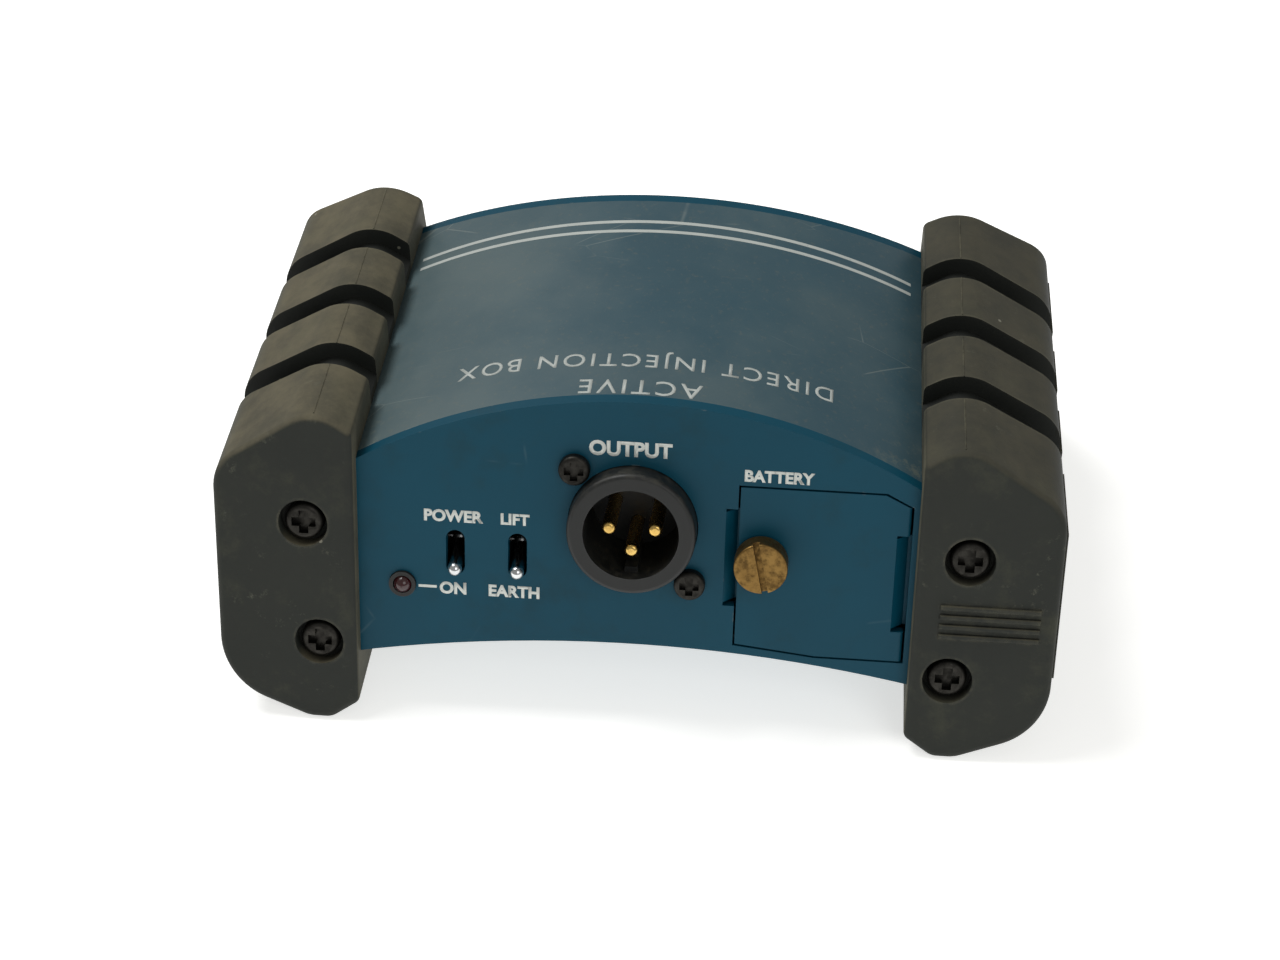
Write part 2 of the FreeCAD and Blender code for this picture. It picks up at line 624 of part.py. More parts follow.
def cut_bumper(blank, side):
    """Cut the case pocket, the panel lip and the screw holes of the bumper on this side.

    One moulding serves both sides: the left one is the right one turned half a turn.
    """
    body = blank if side > 0 else placed(blank, Placement(Vector(), Rotation(Z_AXIS, 180)))
    pocket = case_section(-RUBBER_GAP, -LONG, LONG).common(between_ends(FLANGE_THICKNESS - RUBBER_GAP))
    body = body.cut(pocket)
    lip = case_section(-RUBBER_GAP, -LONG, LONG).common(between_ends(PANEL_SETBACK))
    reach = PANEL_HALF_WIDTH + RUBBER_GAP
    lip = lip.common(block((-reach, -LONG, 0), (reach, LONG, 2 * ARCH_TOP)))
    body = body.cut(lip)
    for pose in POSES.values():
        for x, y in bumper_screw_places():
            hole = rod(x, y, -COUNTERBORE_DEPTH, 5, COUNTERBORE_RADIUS)
            hole = hole.fuse(rod(x, y, CASE_END - 1, 0, SCREW_RADIUS + SHANK_GAP))
            body = body.cut(placed(hole, pose))
    return body


def make_bumpers():
    blank = make_bumper_blank()
    keep("bumper_right", cut_bumper(blank, 1))
    keep("bumper_left", cut_bumper(blank, -1))
    for end, pose in POSES.items():
        screws = []
        for x, y in bumper_screw_places():
            piece = screw(
                x, y, -COUNTERBORE_DEPTH, SCREW_HEAD_RADIUS, SCREW_HEAD_HEIGHT, SCREW_RADIUS, SCREW_LENGTH
            )
            screws.append(placed(piece, pose))
        keep("bumper_screws_" + end, screws)


# ---- panels -------------------------------------------------------------------------------
def panel_blank(end):
    """A plate with the case's outline, in the panel frame."""
    slab = block((-PANEL_HALF_WIDTH, -LONG, PANEL_BACK), (PANEL_HALF_WIDTH, LONG, PANEL_FACE))
    plate = placed(slab, POSES[end]).common(case_section(0, -LONG, LONG))
    return placed(plate, POSES[end].inverse())


def door_outline(grow):
    """The battery door's outline, grown by a gap."""
    cut_x, cut_y = DOOR_CHAMFER
    return [
        (DOOR_LEFT - grow, DOOR_TOP + grow),
        (DOOR_RIGHT - cut_x + grow / 2, DOOR_TOP + grow),
        (DOOR_RIGHT + grow, DOOR_TOP - cut_y + grow / 2),
        (DOOR_RIGHT + grow, DOOR_BOTTOM - grow),
        (DOOR_BEND_X, DOOR_BOTTOM - grow),
        (DOOR_LEFT - grow, DOOR_BOTTOM + DOOR_BOTTOM_RISE - grow),
    ]


def joggle(start_x, end_x, low, high):
    """A strip that leaves the sheet at start_x and steps back behind it, then runs to end_x."""
    back = TONGUE_FRONT
    outline = [
        (start_x, PANEL_FACE),
        (start_x + JOGGLE_RUN, back),
        (end_x, back),
        (end_x, back - PANEL_THICKNESS),
        (start_x + JOGGLE_RUN - JOGGLE_SLANT, back - PANEL_THICKNESS),
        (start_x, PANEL_BACK),
    ]
    return prism(outline, low, high, "y")


def slot_hole(x, y, width, height):
    radius = width / 2
    straight = height / 2 - radius
    hole = block((x - radius, y - straight, PANEL_BACK - 1), (x + radius, y + straight, PANEL_FACE + 1))
    for side in (-1, 1):
        hole = hole.fuse(rod(x, y + side * straight, PANEL_BACK - 1, PANEL_FACE + 1, radius))
    return hole


def xlr_panel_hole(place, latch):
    x, y = place
    hole = rod(x, y, PANEL_BACK - 1, PANEL_FACE + 1, XLR_RING_RADIUS + XLR_HOLE_GAP)
    if latch:
        hole = hole.fuse(latch_house(place, XLR_HOLE_GAP, PANEL_BACK - 1, PANEL_FACE + 1))
    for side in (-1, 1):
        screw_x = x + side * XLR_SCREW_OFFSET
        screw_y = y - side * XLR_SCREW_OFFSET
        bore = rod(screw_x, screw_y, PANEL_BACK - 1, PANEL_FACE + 1, XLR_SCREW_RADIUS + SHANK_GAP)
        hole = hole.fuse(bore)
    return hole


def make_output_panel():
    panel = panel_blank("output").cut(prism(door_outline(DOOR_GAP), PANEL_BACK - 1, PANEL_FACE + 1, "z"))
    # The tongue is bent out of the plate, between two slits, and passes behind the door.
    start = DOOR_LEFT - DOOR_GAP - JOGGLE_RUN
    slits = block(
        (start, TONGUE_LOW - JOGGLE_SLIT, PANEL_BACK - 1),
        (DOOR_LEFT, TONGUE_HIGH + JOGGLE_SLIT, PANEL_FACE + 1),
    )
    panel = panel.cut(slits)
    tongue = joggle(start, DOOR_LEFT + TONGUE_LENGTH - JOGGLE_RUN, TONGUE_LOW, TONGUE_HIGH)
    thumb_x, thumb_y = THUMB_AXIS
    tongue = tongue.cut(rod(thumb_x, thumb_y, -LONG, LONG, THUMB_NUT_RADIUS))
    panel = panel.fuse(tongue).removeSplitter()
    for end, place in SWITCHES.values():
        if end == "output":
            panel = panel.cut(slot_hole(place[0], place[1], SLOT_WIDTH, SLOT_HEIGHT))
    panel = panel.cut(rod(LED_PLACE[0], LED_PLACE[1], -LONG, LONG, LED_BEZEL_RADIUS + RUNNING_GAP))
    panel = panel.cut(xlr_panel_hole(OUTPUT_XLR, False))
    keep("output_panel", placed(panel, OUTPUT_POSE))


def make_input_panel():
    panel = panel_blank("input")
    for end, place in SWITCHES.values():
        if end == "input":
            panel = panel.cut(slot_hole(place[0], place[1], SLOT_WIDTH, SLOT_HEIGHT))
    for x, y in JACK_PLACES.values():
        panel = panel.cut(rod(x, y, -LONG, LONG, JACK_BUSH_RADIUS + RUNNING_GAP))
    panel = panel.cut(xlr_panel_hole(INPUT_XLR, True))
    keep("input_panel", placed(panel, INPUT_POSE))


# ---- battery door -------------------------------------------------------------------------
def make_battery_door():
    thumb_x, thumb_y = THUMB_AXIS
    door = prism(door_outline(0), PANEL_BACK, PANEL_FACE, "z")
    start = DOOR_RIGHT - JOGGLE_RUN - JOGGLE_GAP
    door = door.cut(
        block(
            (start, TAB_LOW - JOGGLE_SLIT, PANEL_BACK - 1),
            (DOOR_RIGHT + 1, TAB_HIGH + JOGGLE_SLIT, PANEL_FACE + 1),
        )
    )
    door = fillet_where(
        door,
        DOOR_EDGE_RADIUS,
        lambda edge: edge.BoundBox.XMin > DOOR_RIGHT - 1e-3 and edge.BoundBox.ZMin > PANEL_FACE - 1e-3,
    )
    door = door.fuse(joggle(start, DOOR_RIGHT + TAB_REACH, TAB_LOW, TAB_HIGH)).removeSplitter()
    door = door.cut(rod(thumb_x, thumb_y, -LONG, LONG, THUMB_SHAFT_RADIUS + RUNNING_GAP))
    keep("battery_cover", placed(door, OUTPUT_POSE))

    washer_top = PANEL_FACE + THUMB_WASHER_THICKNESS
    washer = tube(
        thumb_x, thumb_y, PANEL_FACE, washer_top, THUMB_WASHER_RADIUS, THUMB_SHAFT_RADIUS + RUNNING_GAP
    )
    keep("thumbscrew_washer", placed(washer, OUTPUT_POSE))

    head = rod(thumb_x, thumb_y, washer_top, THUMB_HEAD_TOP, THUMB_RADIUS)
    head = fillet_where(
        head, THUMB_EDGE_RADIUS, lambda edge: abs(edge.CenterOfMass.z - THUMB_HEAD_TOP) < 1e-6
    )
    head = head.fuse(rod(thumb_x, thumb_y, THUMB_SHAFT_END, washer_top, THUMB_SHAFT_RADIUS))
    half = THUMB_SLOT_WIDTH / 2
    slot = block(
        (thumb_x - half, thumb_y - 2 * THUMB_RADIUS, THUMB_HEAD_TOP - THUMB_SLOT_DEPTH),
        (thumb_x + half, thumb_y + 2 * THUMB_RADIUS, THUMB_HEAD_TOP + 1),
    )
    slot.rotate(Vector(thumb_x, thumb_y, 0), Z_AXIS, THUMB_SLOT_ANGLE)
    keep("thumbscrew", placed(head.cut(slot), OUTPUT_POSE))

    nut_end = THUMB_SHAFT_END - THUMB_NUT_BEYOND
    tongue_back = TONGUE_FRONT - PANEL_THICKNESS
    nut = rod(thumb_x, thumb_y, nut_end, TONGUE_FRONT, THUMB_NUT_RADIUS)
    nut = nut.fuse(rod(thumb_x, thumb_y, nut_end, tongue_back, THUMB_NUT_FLANGE_RADIUS))
    nut = nut.cut(rod(thumb_x, thumb_y, -LONG, LONG, THUMB_SHAFT_RADIUS + THUMB_THREAD_GAP))
    keep("cover_nut", placed(nut, OUTPUT_POSE))


# ---- XLR connectors -----------------------------------------------------------------------
def xlr_pin_places(place):
    x, y = place
    return [(x - XLR_PIN_PITCH, y), (x + XLR_PIN_PITCH, y), (x, y - XLR_PIN_PITCH)]


def xlr_flange(place):
    """The plate behind the panel, with its ring and the body barrel."""
    x, y = place
    half = XLR_FLANGE_HALF
    back = PANEL_BACK - XLR_FLANGE_THICKNESS
    flange = block((x - half, y - half, back), (x + half, y + half, PANEL_BACK))
    flange = flange.fuse(rod(x, y, PANEL_BACK, XLR_FRONT, XLR_RING_RADIUS))
    return flange.fuse(rod(x, y, -XLR_REAR, back, XLR_BODY_RADIUS))


def cut_flange_holes(shape, place):
    for side in (-1, 1):
        screw_x = place[0] + side * XLR_SCREW_OFFSET
        screw_y = place[1] - side * XLR_SCREW_OFFSET
        shape = shape.cut(rod(screw_x, screw_y, -XLR_REAR, PANEL_FACE, XLR_SCREW_RADIUS + SHANK_GAP))
    return shape


def make_xlr_fasteners(name, place, pose):
    screws, nuts = [], []
    back = PANEL_BACK - XLR_FLANGE_THICKNESS
    length = PANEL_FACE - back + XLR_NUT_HEIGHT + XLR_SCREW_BEYOND
    for side in (-1, 1):
        x = place[0] + side * XLR_SCREW_OFFSET
        y = place[1] - side * XLR_SCREW_OFFSET
        piece = screw(
            x, y, PANEL_FACE, XLR_SCREW_HEAD_RADIUS, XLR_SCREW_HEAD_HEIGHT, XLR_SCREW_RADIUS, length
        )
        screws.append(placed(piece, pose))
        nut = hexagon(x, y, back - XLR_NUT_HEIGHT, back, 2 * XLR_NUT_RADIUS * math.cos(math.radians(30)))
        nuts.append(placed(nut.cut(rod(x, y, -LONG, LONG, XLR_SCREW_RADIUS + THREAD_GAP)), pose))
    keep(name + "_screws", screws)
    keep(name + "_nuts", nuts)


def make_output_xlr():
    x, y = OUTPUT_XLR
    shell = xlr_flange(OUTPUT_XLR).cut(rod(x, y, -XLR_REAR - 1, XLR_FRONT + 1, XLR_MALE_BORE))
    rim = XLR_RING_RADIUS + XLR_MALE_BORE
    shell = fillet_where(
        shell,
        XLR_RING_EDGE_RADIUS,
        lambda edge: edge.BoundBox.ZMin > XLR_FRONT - 1e-6 and edge.BoundBox.XLength > rim,
    )
    half = XLR_KEY_WIDTH / 2
    root = y - XLR_MALE_BORE
    key = block(
        (x - half, root - XLR_KEY_SUNK, -XLR_MALE_FLOOR),
        (x + half, root + XLR_KEY_HEIGHT, XLR_FRONT - XLR_KEY_SETBACK),
    )
    shell = cut_flange_holes(shell.fuse(key), OUTPUT_XLR)
    keep("output_xlr_shell", placed(shell, OUTPUT_POSE))

    insert = rod(x, y, -XLR_REAR, -XLR_MALE_FLOOR, XLR_MALE_BORE - RUNNING_GAP)
    pins = []
    for pin_x, pin_y in xlr_pin_places(OUTPUT_XLR):
        insert = insert.cut(rod(pin_x, pin_y, -LONG, LONG, XLR_PIN_RADIUS + RUNNING_GAP))
        pin = rod(pin_x, pin_y, -XLR_REAR - XLR_TAIL_LENGTH, -XLR_PIN_TIP, XLR_PIN_RADIUS)
        pin = fillet_where(pin, XLR_PIN_END_RADIUS, lambda edge: abs(edge.BoundBox.ZMin + XLR_PIN_TIP) < 1e-6)
        pins.append(placed(pin, OUTPUT_POSE))
    keep("output_xlr_insert", placed(insert, OUTPUT_POSE))
    keep("output_xlr_pins", pins)
    make_xlr_fasteners("output_xlr", OUTPUT_XLR, OUTPUT_POSE)


def latch_house(place, grow, z_low, z_high):
    """The raised block over the ring that guides the latch."""
    x, y = place
    half = LATCH_WIDTH / 2 + LATCH_SIDE_WALL + grow
    top = y + XLR_FEMALE_BORE + LATCH_FLOOR + LATCH_HEIGHT + LATCH_TOP_WALL + grow
    return block((x - half, y, z_low), (x + half, top, z_high))


def make_input_xlr():
    x, y = INPUT_XLR
    shell = xlr_flange(INPUT_XLR).fuse(latch_house(INPUT_XLR, 0, -XLR_REAR, XLR_FRONT))
    shell = shell.cut(rod(x, y, -XLR_REAR - 1, XLR_FRONT + 1, XLR_FEMALE_BORE))
    half = LATCH_WIDTH / 2
    low = y + XLR_FEMALE_BORE + LATCH_FLOOR
    high = low + LATCH_HEIGHT
    rear = XLR_FRONT - LATCH_LENGTH
    front = XLR_FRONT + LATCH_PROUD
    guide = RUNNING_GAP
    channel_rear = rear - LATCH_TRAVEL - LATCH_REAR_GAP
    channel = block((x - half - guide, low - guide, channel_rear), (x + half + guide, high + guide, front))
    shell = cut_flange_holes(shell.cut(channel), INPUT_XLR)
    keep("input_xlr_shell", placed(shell, INPUT_POSE))

    latch = block((x - half, low, rear), (x + half, high, front))
    latch = fillet_where(latch, LATCH_EDGE_RADIUS, lambda edge: abs(edge.BoundBox.ZMin - front) < 1e-6)
    keep("input_xlr_latch", placed(latch, INPUT_POSE))

    insert_front = XLR_FRONT - XLR_INSERT_SETBACK
    insert = rod(x, y, -XLR_MALE_FLOOR, insert_front, XLR_FEMALE_INSERT)
    insert = fillet_where(
        insert, XLR_INSERT_EDGE_RADIUS, lambda edge: abs(edge.BoundBox.ZMin - insert_front) < 1e-6
    )
    insert = insert.fuse(rod(x, y, -XLR_REAR, -XLR_MALE_FLOOR, XLR_FEMALE_BORE - RUNNING_GAP))
    contacts = []
    cup_rear = XLR_CUP_FLOOR - XLR_MALE_FLOOR
    for pin_x, pin_y in xlr_pin_places((x, y + XLR_CONTACT_RISE)):
        insert = insert.cut(rod(pin_x, pin_y, cup_rear, LONG, XLR_CUP_OUTER + XLR_CONTACT_GAP))
        insert = insert.cut(rod(pin_x, pin_y, -LONG, LONG, XLR_TAIL_RADIUS + XLR_CONTACT_GAP))
        tail = rod(pin_x, pin_y, -XLR_REAR - XLR_TAIL_LENGTH, cup_rear, XLR_TAIL_RADIUS)
        cup = rod(pin_x, pin_y, cup_rear, -XLR_CUP_FRONT, XLR_CUP_OUTER)
        cup = cup.cut(rod(pin_x, pin_y, cup_rear + XLR_CUP_FLOOR, 0, XLR_CUP_BORE))
        contacts.append(placed(cup.fuse(tail), INPUT_POSE))
    keep("input_xlr_insert", placed(insert, INPUT_POSE))
    keep("input_xlr_contacts", contacts)
    make_xlr_fasteners("input_xlr", INPUT_XLR, INPUT_POSE)


# ---- jack sockets -------------------------------------------------------------------------
def make_jack(name, place):
    x, y = place
    back = PANEL_BACK - JACK_BODY_LENGTH
    guide_end = PANEL_BACK - JACK_GUIDE_LENGTH
    half = JACK_BODY_HALF
    body = block((x - half, y - half, back), (x + half, y + half, PANEL_BACK))
    body = body.fuse(rod(x, y, PANEL_BACK, PANEL_FACE + JACK_BUSH_PROUD, JACK_BUSH_RADIUS))
    body = body.cut(rod(x, y, guide_end - 1, PANEL_FACE + JACK_BUSH_PROUD + 1, JACK_BORE))
    room = JACK_CHAMBER_HALF
    chamber_back = back + JACK_BACK_WALL
    body = body.cut(block((x - room, y - room, chamber_back), (x + room, y + room, guide_end)))
    keep(name + "_jack_body", placed(body, INPUT_POSE))

    nut = hexagon(x, y, PANEL_FACE, PANEL_FACE + JACK_NUT_HEIGHT, JACK_NUT_AF)
    nut = nut.cut(rod(x, y, -LONG, LONG, JACK_BUSH_RADIUS + THREAD_GAP))
    keep(name + "_jack_nut", placed(nut, INPUT_POSE))

    contacts = []
    near = x + JACK_BORE + JACK_BLADE_GAP
    for turn, length in JACK_BLADES.items():
        blade = block(
            (near, y - JACK_BLADE_WIDTH / 2, chamber_back),
            (near + JACK_BLADE_SHEET, y + JACK_BLADE_WIDTH / 2, chamber_back + length),
        )
        blade.rotate(Vector(x, y, 0), Z_AXIS, turn)
        contacts.append(placed(blade, INPUT_POSE))
    keep(name + "_jack_contacts", contacts)


# ---- lever switches -----------------------------------------------------------------------
def make_switch(name, end, place):
    x, y = place
    pose = POSES[end]
    back = PANEL_BACK - SWITCH_DEPTH
    low = (x - SWITCH_HALF_X, y - SWITCH_HALF_Y, back)
    body = block(low, (x + SWITCH_HALF_X, y + SWITCH_HALF_Y, PANEL_BACK))
    body = body.cut(
        block(
            (x - SWITCH_CAVITY_X, y - SWITCH_CAVITY_Y, PANEL_BACK - SWITCH_CAVITY_DEPTH),
            (x + SWITCH_CAVITY_X, y + SWITCH_CAVITY_Y, PANEL_BACK + 1),
        )
    )
    pivot_z = PANEL_BACK - LEVER_PIVOT
    pin_half = SWITCH_HALF_X - LEVER_PIN_INSET
    hole_half = pin_half + LEVER_PIN_END_GAP
    hole_start = Vector(x - hole_half, y, pivot_z)
    pin_hole = Part.makeCylinder(LEVER_PIN_RADIUS + RUNNING_GAP, 2 * hole_half, hole_start, X_AXIS)
    body = body.cut(pin_hole)
    keep(name + "_switch_body", placed(body, pose))

    pivot = Vector(x, y, pivot_z)
    pin_start = Vector(x - pin_half, y, pivot_z)
    lever = Part.makeSphere(LEVER_BALL, pivot)
    lever = lever.fuse(Part.makeCylinder(LEVER_PIN_RADIUS, 2 * pin_half, pin_start, X_AXIS))
    stalk = Part.makeCone(LEVER_NECK_RADIUS, LEVER_TIP_RADIUS, LEVER_REACH, pivot, Z_AXIS)
    lever = lever.fuse(stalk)
    lever = lever.fuse(Part.makeSphere(LEVER_TIP_RADIUS, Vector(x, y, pivot_z + LEVER_REACH)))
    lever.rotate(pivot, X_AXIS, LEVER_ANGLE)
    keep(name + "_switch_lever", placed(lever, pose))


# ---- status light -------------------------------------------------------------------------
def make_led():
    x, y = LED_PLACE
    rear = PANEL_BACK - LED_LENGTH
    front = PANEL_FACE + LED_BEZEL_PROUD
    bore = LED_LENS_RADIUS + RUNNING_GAP
    bezel = tube(x, y, rear + LED_COLLAR_LENGTH, front, LED_BEZEL_RADIUS, bore)
    bezel = bezel.fuse(tube(x, y, rear, PANEL_BACK, LED_BEZEL_RADIUS + LED_COLLAR_WIDTH, bore))
    keep("led_bezel", placed(bezel, OUTPUT_POSE))
    lens = rod(x, y, rear + 1, PANEL_FACE, LED_LENS_RADIUS)
    lens = lens.fuse(Part.makeSphere(LED_LENS_RADIUS, Vector(x, y, PANEL_FACE)))
    keep("led_lens", placed(lens, OUTPUT_POSE))


# ---- electronics --------------------------------------------------------------------------
def make_board():
    board = block((BOARD_X[0], -BOARD_HALF_Y, BOARD_BOTTOM), (BOARD_X[1], BOARD_HALF_Y, BOARD_TOP))
    screws = []
    for rib_x in BOARD_RIB_X:
        for y in (-BOARD_SCREW_Y, BOARD_SCREW_Y):
            board = board.cut(rod(rib_x, y, 0, BOARD_TOP + 1, SMALL_SCREW_RADIUS + SHANK_GAP))
            screws.append(small_screw(rib_x, y, BOARD_TOP))
    keep("circuit_board", board)
    keep("board_screws", screws)


def box_on_board(x, y, size):
    """A box that stands on the board, centred at x, y."""
    low = (x - size[0] / 2, y - size[1] / 2, BOARD_TOP)
    return block(low, (x + size[0] / 2, y + size[1] / 2, BOARD_TOP + size[2]))


def make_board_parts():
    """The transformer, capacitors, resistors and amplifiers that stand on the board."""
    x, y = CORE_PLACE
    width, length, height = CORE_SIZE
    core = box_on_board(x, y, CORE_SIZE)
    window_half = width / 2 - CORE_LIMB
    window_low, window_high = BOARD_TOP + CORE_LIMB, BOARD_TOP + height - CORE_LIMB
    window = block((x - window_half, y - length, window_low), (x + window_half, y + length, window_high))
    keep("transformer_core", core.cut(window))
    wound_half = window_half - COIL_GAP
    wound_reach = length / 2 + COIL_BEYOND
    low = (x - wound_half, y - wound_reach, window_low + COIL_GAP)
    coil = block(low, (x + wound_half, y + wound_reach, window_high - COIL_GAP))
    cheek_half = window_half + CHEEK_MARGIN
    for start in (y - wound_reach, y + length / 2):
        low = (x - cheek_half, start, BOARD_TOP + CHEEK_INSET)
        cheek = block(low, (x + cheek_half, start + COIL_BEYOND, BOARD_TOP + height - CHEEK_INSET))
        coil = coil.fuse(cheek)
    keep("transformer_coil", coil.removeSplitter())
    cans = []
    for x, y in TALL_CAN_PLACES:
        cans.append(rod(x, y, BOARD_TOP, BOARD_TOP + TALL_CAN_HEIGHT, TALL_CAN_RADIUS))
    keep("electrolytic_capacitors", cans)
    films = [box_on_board(FILM_CAN_X, step * FILM_CAN_PITCH, FILM_CAN_SIZE) for step in (-1, 0, 1)]
    keep("film_capacitors", films)
    keep("amplifier_chips", [box_on_board(CHIP_X, y, CHIP_SIZE) for y in CHIP_Y])
    resistors = []
    left = BOARD_X[0] + RESISTOR_INSET
    for row in range(RESISTOR_COUNT):
        y = (row - (RESISTOR_COUNT - 1) / 2) * RESISTOR_PITCH
        start = Vector(left, y, BOARD_TOP + RESISTOR_RADIUS)
        resistors.append(Part.makeCylinder(RESISTOR_RADIUS, RESISTOR_LENGTH, start, X_AXIS))
    keep("resistors", resistors)


# ---- battery ------------------------------------------------------------------------------
def make_battery():
    wide, long_side, tall = BATTERY_SIZE
    base = tray_base_z() + TRAY_SHEET + PAD_THICKNESS
    end_y = BATTERY_FRONT_Y + long_side
    can_end = end_y - BATTERY_TERMINAL_HEIGHT
    can = block((BATTERY_X, BATTERY_FRONT_Y, base), (BATTERY_X + wide, can_end, base + tall))
    can = fillet_where(can, BATTERY_EDGE_RADIUS, lambda edge: edge.BoundBox.YLength > tall)
    middle_x = BATTERY_X + wide / 2
    middle_z = base + tall / 2
    for side, radius in zip((-1, 1), BATTERY_TERMINAL_RADII):
        start = Vector(middle_x, can_end, middle_z + side * BATTERY_TERMINAL_PITCH / 2)
        can = can.fuse(Part.makeCylinder(radius, BATTERY_TERMINAL_HEIGHT, start, Y_AXIS))
    keep("battery", can)

    snap_left = middle_x - SNAP_SIZE[0] / 2
    low = (snap_left, end_y, middle_z - SNAP_SIZE[2] / 2)
    snap = block(low, (snap_left + SNAP_SIZE[0], end_y + SNAP_SIZE[1], middle_z + SNAP_SIZE[2] / 2))
    shortest = SNAP_SIZE[1] - 1e-3
    snap = fillet_where(snap, SNAP_EDGE_RADIUS, lambda edge: edge.BoundBox.YLength > shortest)
    keep("battery_snap", snap)
    leads = []
    for side, landing in zip((-1, 1), LEAD_LANDINGS):
        start = Vector(snap_left, end_y + SNAP_SIZE[1] / 2, middle_z + side * LEAD_PITCH / 2)
        leads.append(lead(start, BOARD_X[1] - landing, BOARD_TOP))
    keep("battery_leads", leads)


def lead(start, drop_x, low_z):
    """A wire that runs from start towards -X, turns down over drop_x and ends at low_z."""
    bend = LEAD_BEND
    corner = Vector(drop_x, start.y, start.z)
    before = corner + Vector(bend, 0, 0)
    after = corner - Vector(0, 0, bend)
    centre = corner + Vector(bend, 0, -bend)
    lean = math.sqrt(0.5) * bend
    arc = Part.Arc(before, centre + Vector(-lean, 0, lean), after).toShape()
    end = Vector(drop_x, start.y, low_z)
    path = Part.Wire([Part.makeLine(start, before), arc, Part.makeLine(after, end)])
    ring = Part.Wire(Part.makeCircle(LEAD_RADIUS, start, X_AXIS))
    return path.makePipeShell([ring], True, False)


def make_tray():
    wide, long_side, tall = BATTERY_SIZE
    left = BATTERY_X - BATTERY_GAP
    right = BATTERY_X + wide + BATTERY_GAP
    tray_end = BATTERY_FRONT_Y + long_side - TRAY_OPEN_LENGTH
    base = tray_base_z()
    top = base + TRAY_SHEET
    low = (left - TRAY_SHEET, BATTERY_FRONT_Y, base)
    tray = block(low, (right + TRAY_SHEET, tray_end, top))
    for x in (left - TRAY_SHEET, right):
        side = block((x, BATTERY_FRONT_Y, base), (x + TRAY_SHEET, tray_end, base + TRAY_WALL_HEIGHT))
        tray = tray.fuse(side)
    pad = block((BATTERY_X, BATTERY_FRONT_Y, top), (BATTERY_X + wide, tray_end, top + PAD_THICKNESS))
    screws = []
    for x, y in tray_screw_places():
        tray = tray.cut(rod(x, y, 0, top + 1, SMALL_SCREW_RADIUS + SHANK_GAP))
        pad = pad.cut(rod(x, y, 0, LONG, SMALL_SCREW_HEAD_RADIUS + PAD_HOLE_GAP))
        screws.append(small_screw(x, y, top))
    keep("battery_tray", tray.removeSplitter())
    keep("battery_pad", pad)
    keep("tray_screws", screws)


def main():
    make_case()
    make_bumpers()
    make_output_panel()
    make_input_panel()
    make_battery_door()
    make_output_xlr()
    make_input_xlr()
    for name, place in JACK_PLACES.items():
        make_jack(name, place)
    for name, (end, place) in SWITCHES.items():
        make_switch(name, end, place)
    make_led()
    make_board()
    make_board_parts()
    make_battery()
    make_tray()
    os.makedirs("parts", exist_ok=True)
    for name, shape in nodes.items():
        shape.exportStep("parts/" + name + ".step")
        print(name, len(shape.Solids), "valid" if shape.isValid() else "INVALID", round(shape.Volume, 1))


main()
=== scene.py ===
import json
import math

import bmesh
import bpy
from mathutils import Matrix, Vector


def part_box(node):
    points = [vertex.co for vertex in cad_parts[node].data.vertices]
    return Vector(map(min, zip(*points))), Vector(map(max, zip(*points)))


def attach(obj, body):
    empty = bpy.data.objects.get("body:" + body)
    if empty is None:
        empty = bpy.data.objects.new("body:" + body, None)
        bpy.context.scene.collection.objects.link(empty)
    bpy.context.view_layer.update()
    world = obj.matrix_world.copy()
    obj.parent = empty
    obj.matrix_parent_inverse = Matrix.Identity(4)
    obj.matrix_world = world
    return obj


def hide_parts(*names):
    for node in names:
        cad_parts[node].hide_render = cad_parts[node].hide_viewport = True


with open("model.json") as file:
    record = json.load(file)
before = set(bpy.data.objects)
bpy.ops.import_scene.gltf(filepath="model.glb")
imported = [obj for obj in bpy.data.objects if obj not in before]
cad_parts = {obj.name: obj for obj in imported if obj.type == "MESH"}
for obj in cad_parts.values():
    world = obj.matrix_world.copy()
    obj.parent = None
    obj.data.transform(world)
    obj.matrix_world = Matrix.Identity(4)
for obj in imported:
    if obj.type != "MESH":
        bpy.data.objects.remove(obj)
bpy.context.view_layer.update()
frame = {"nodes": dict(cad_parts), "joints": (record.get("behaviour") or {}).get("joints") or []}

# Direct injection box: finishes, printing and small details around the CAD frame. Metres.

MM = 0.001
NODES = frame["nodes"]
SCENE = bpy.context.scene

# ---- places read from the frame -----------------------------------------------------------
HINGE = next(j for j in frame["joints"] if j["name"] == "battery_door_swing")
ACROSS = Vector((1, 0, 0))
UP_SLOPE = Vector(HINGE["axis"]).normalized()    # the battery door's hinge runs up the slope
OUTWARD = ACROSS.cross(UP_SLOPE)
PANEL_SETBACK = 3.0 * MM                         # panel face behind the bumpers' end face
HALF_TURN = Matrix.Rotation(math.pi, 4, "Z")     # output side to input side


def panel_matrix():
    """Panel frame to world: x across, y up the slope from the rest plane, z out of the panel's face."""
    panel = NODES["output_panel"]
    face = max((panel.matrix_world @ v.co).dot(OUTWARD) for v in panel.data.vertices)
    foot = Vector((0, (face + PANEL_SETBACK) / OUTWARD.y, 0))
    matrix = Matrix((ACROSS, UP_SLOPE, OUTWARD)).transposed().to_4x4()
    matrix.translation = foot - OUTWARD * PANEL_SETBACK
    return matrix


OUTPUT_PANEL = panel_matrix()
INPUT_PANEL = HALF_TURN @ OUTPUT_PANEL
CREST_X = 54.6 * MM                              # mould line along each bumper's crest
RAY_START = 0.2                                  # above everything, for rays cast straight down
DOWN = Vector((0, 0, -1))


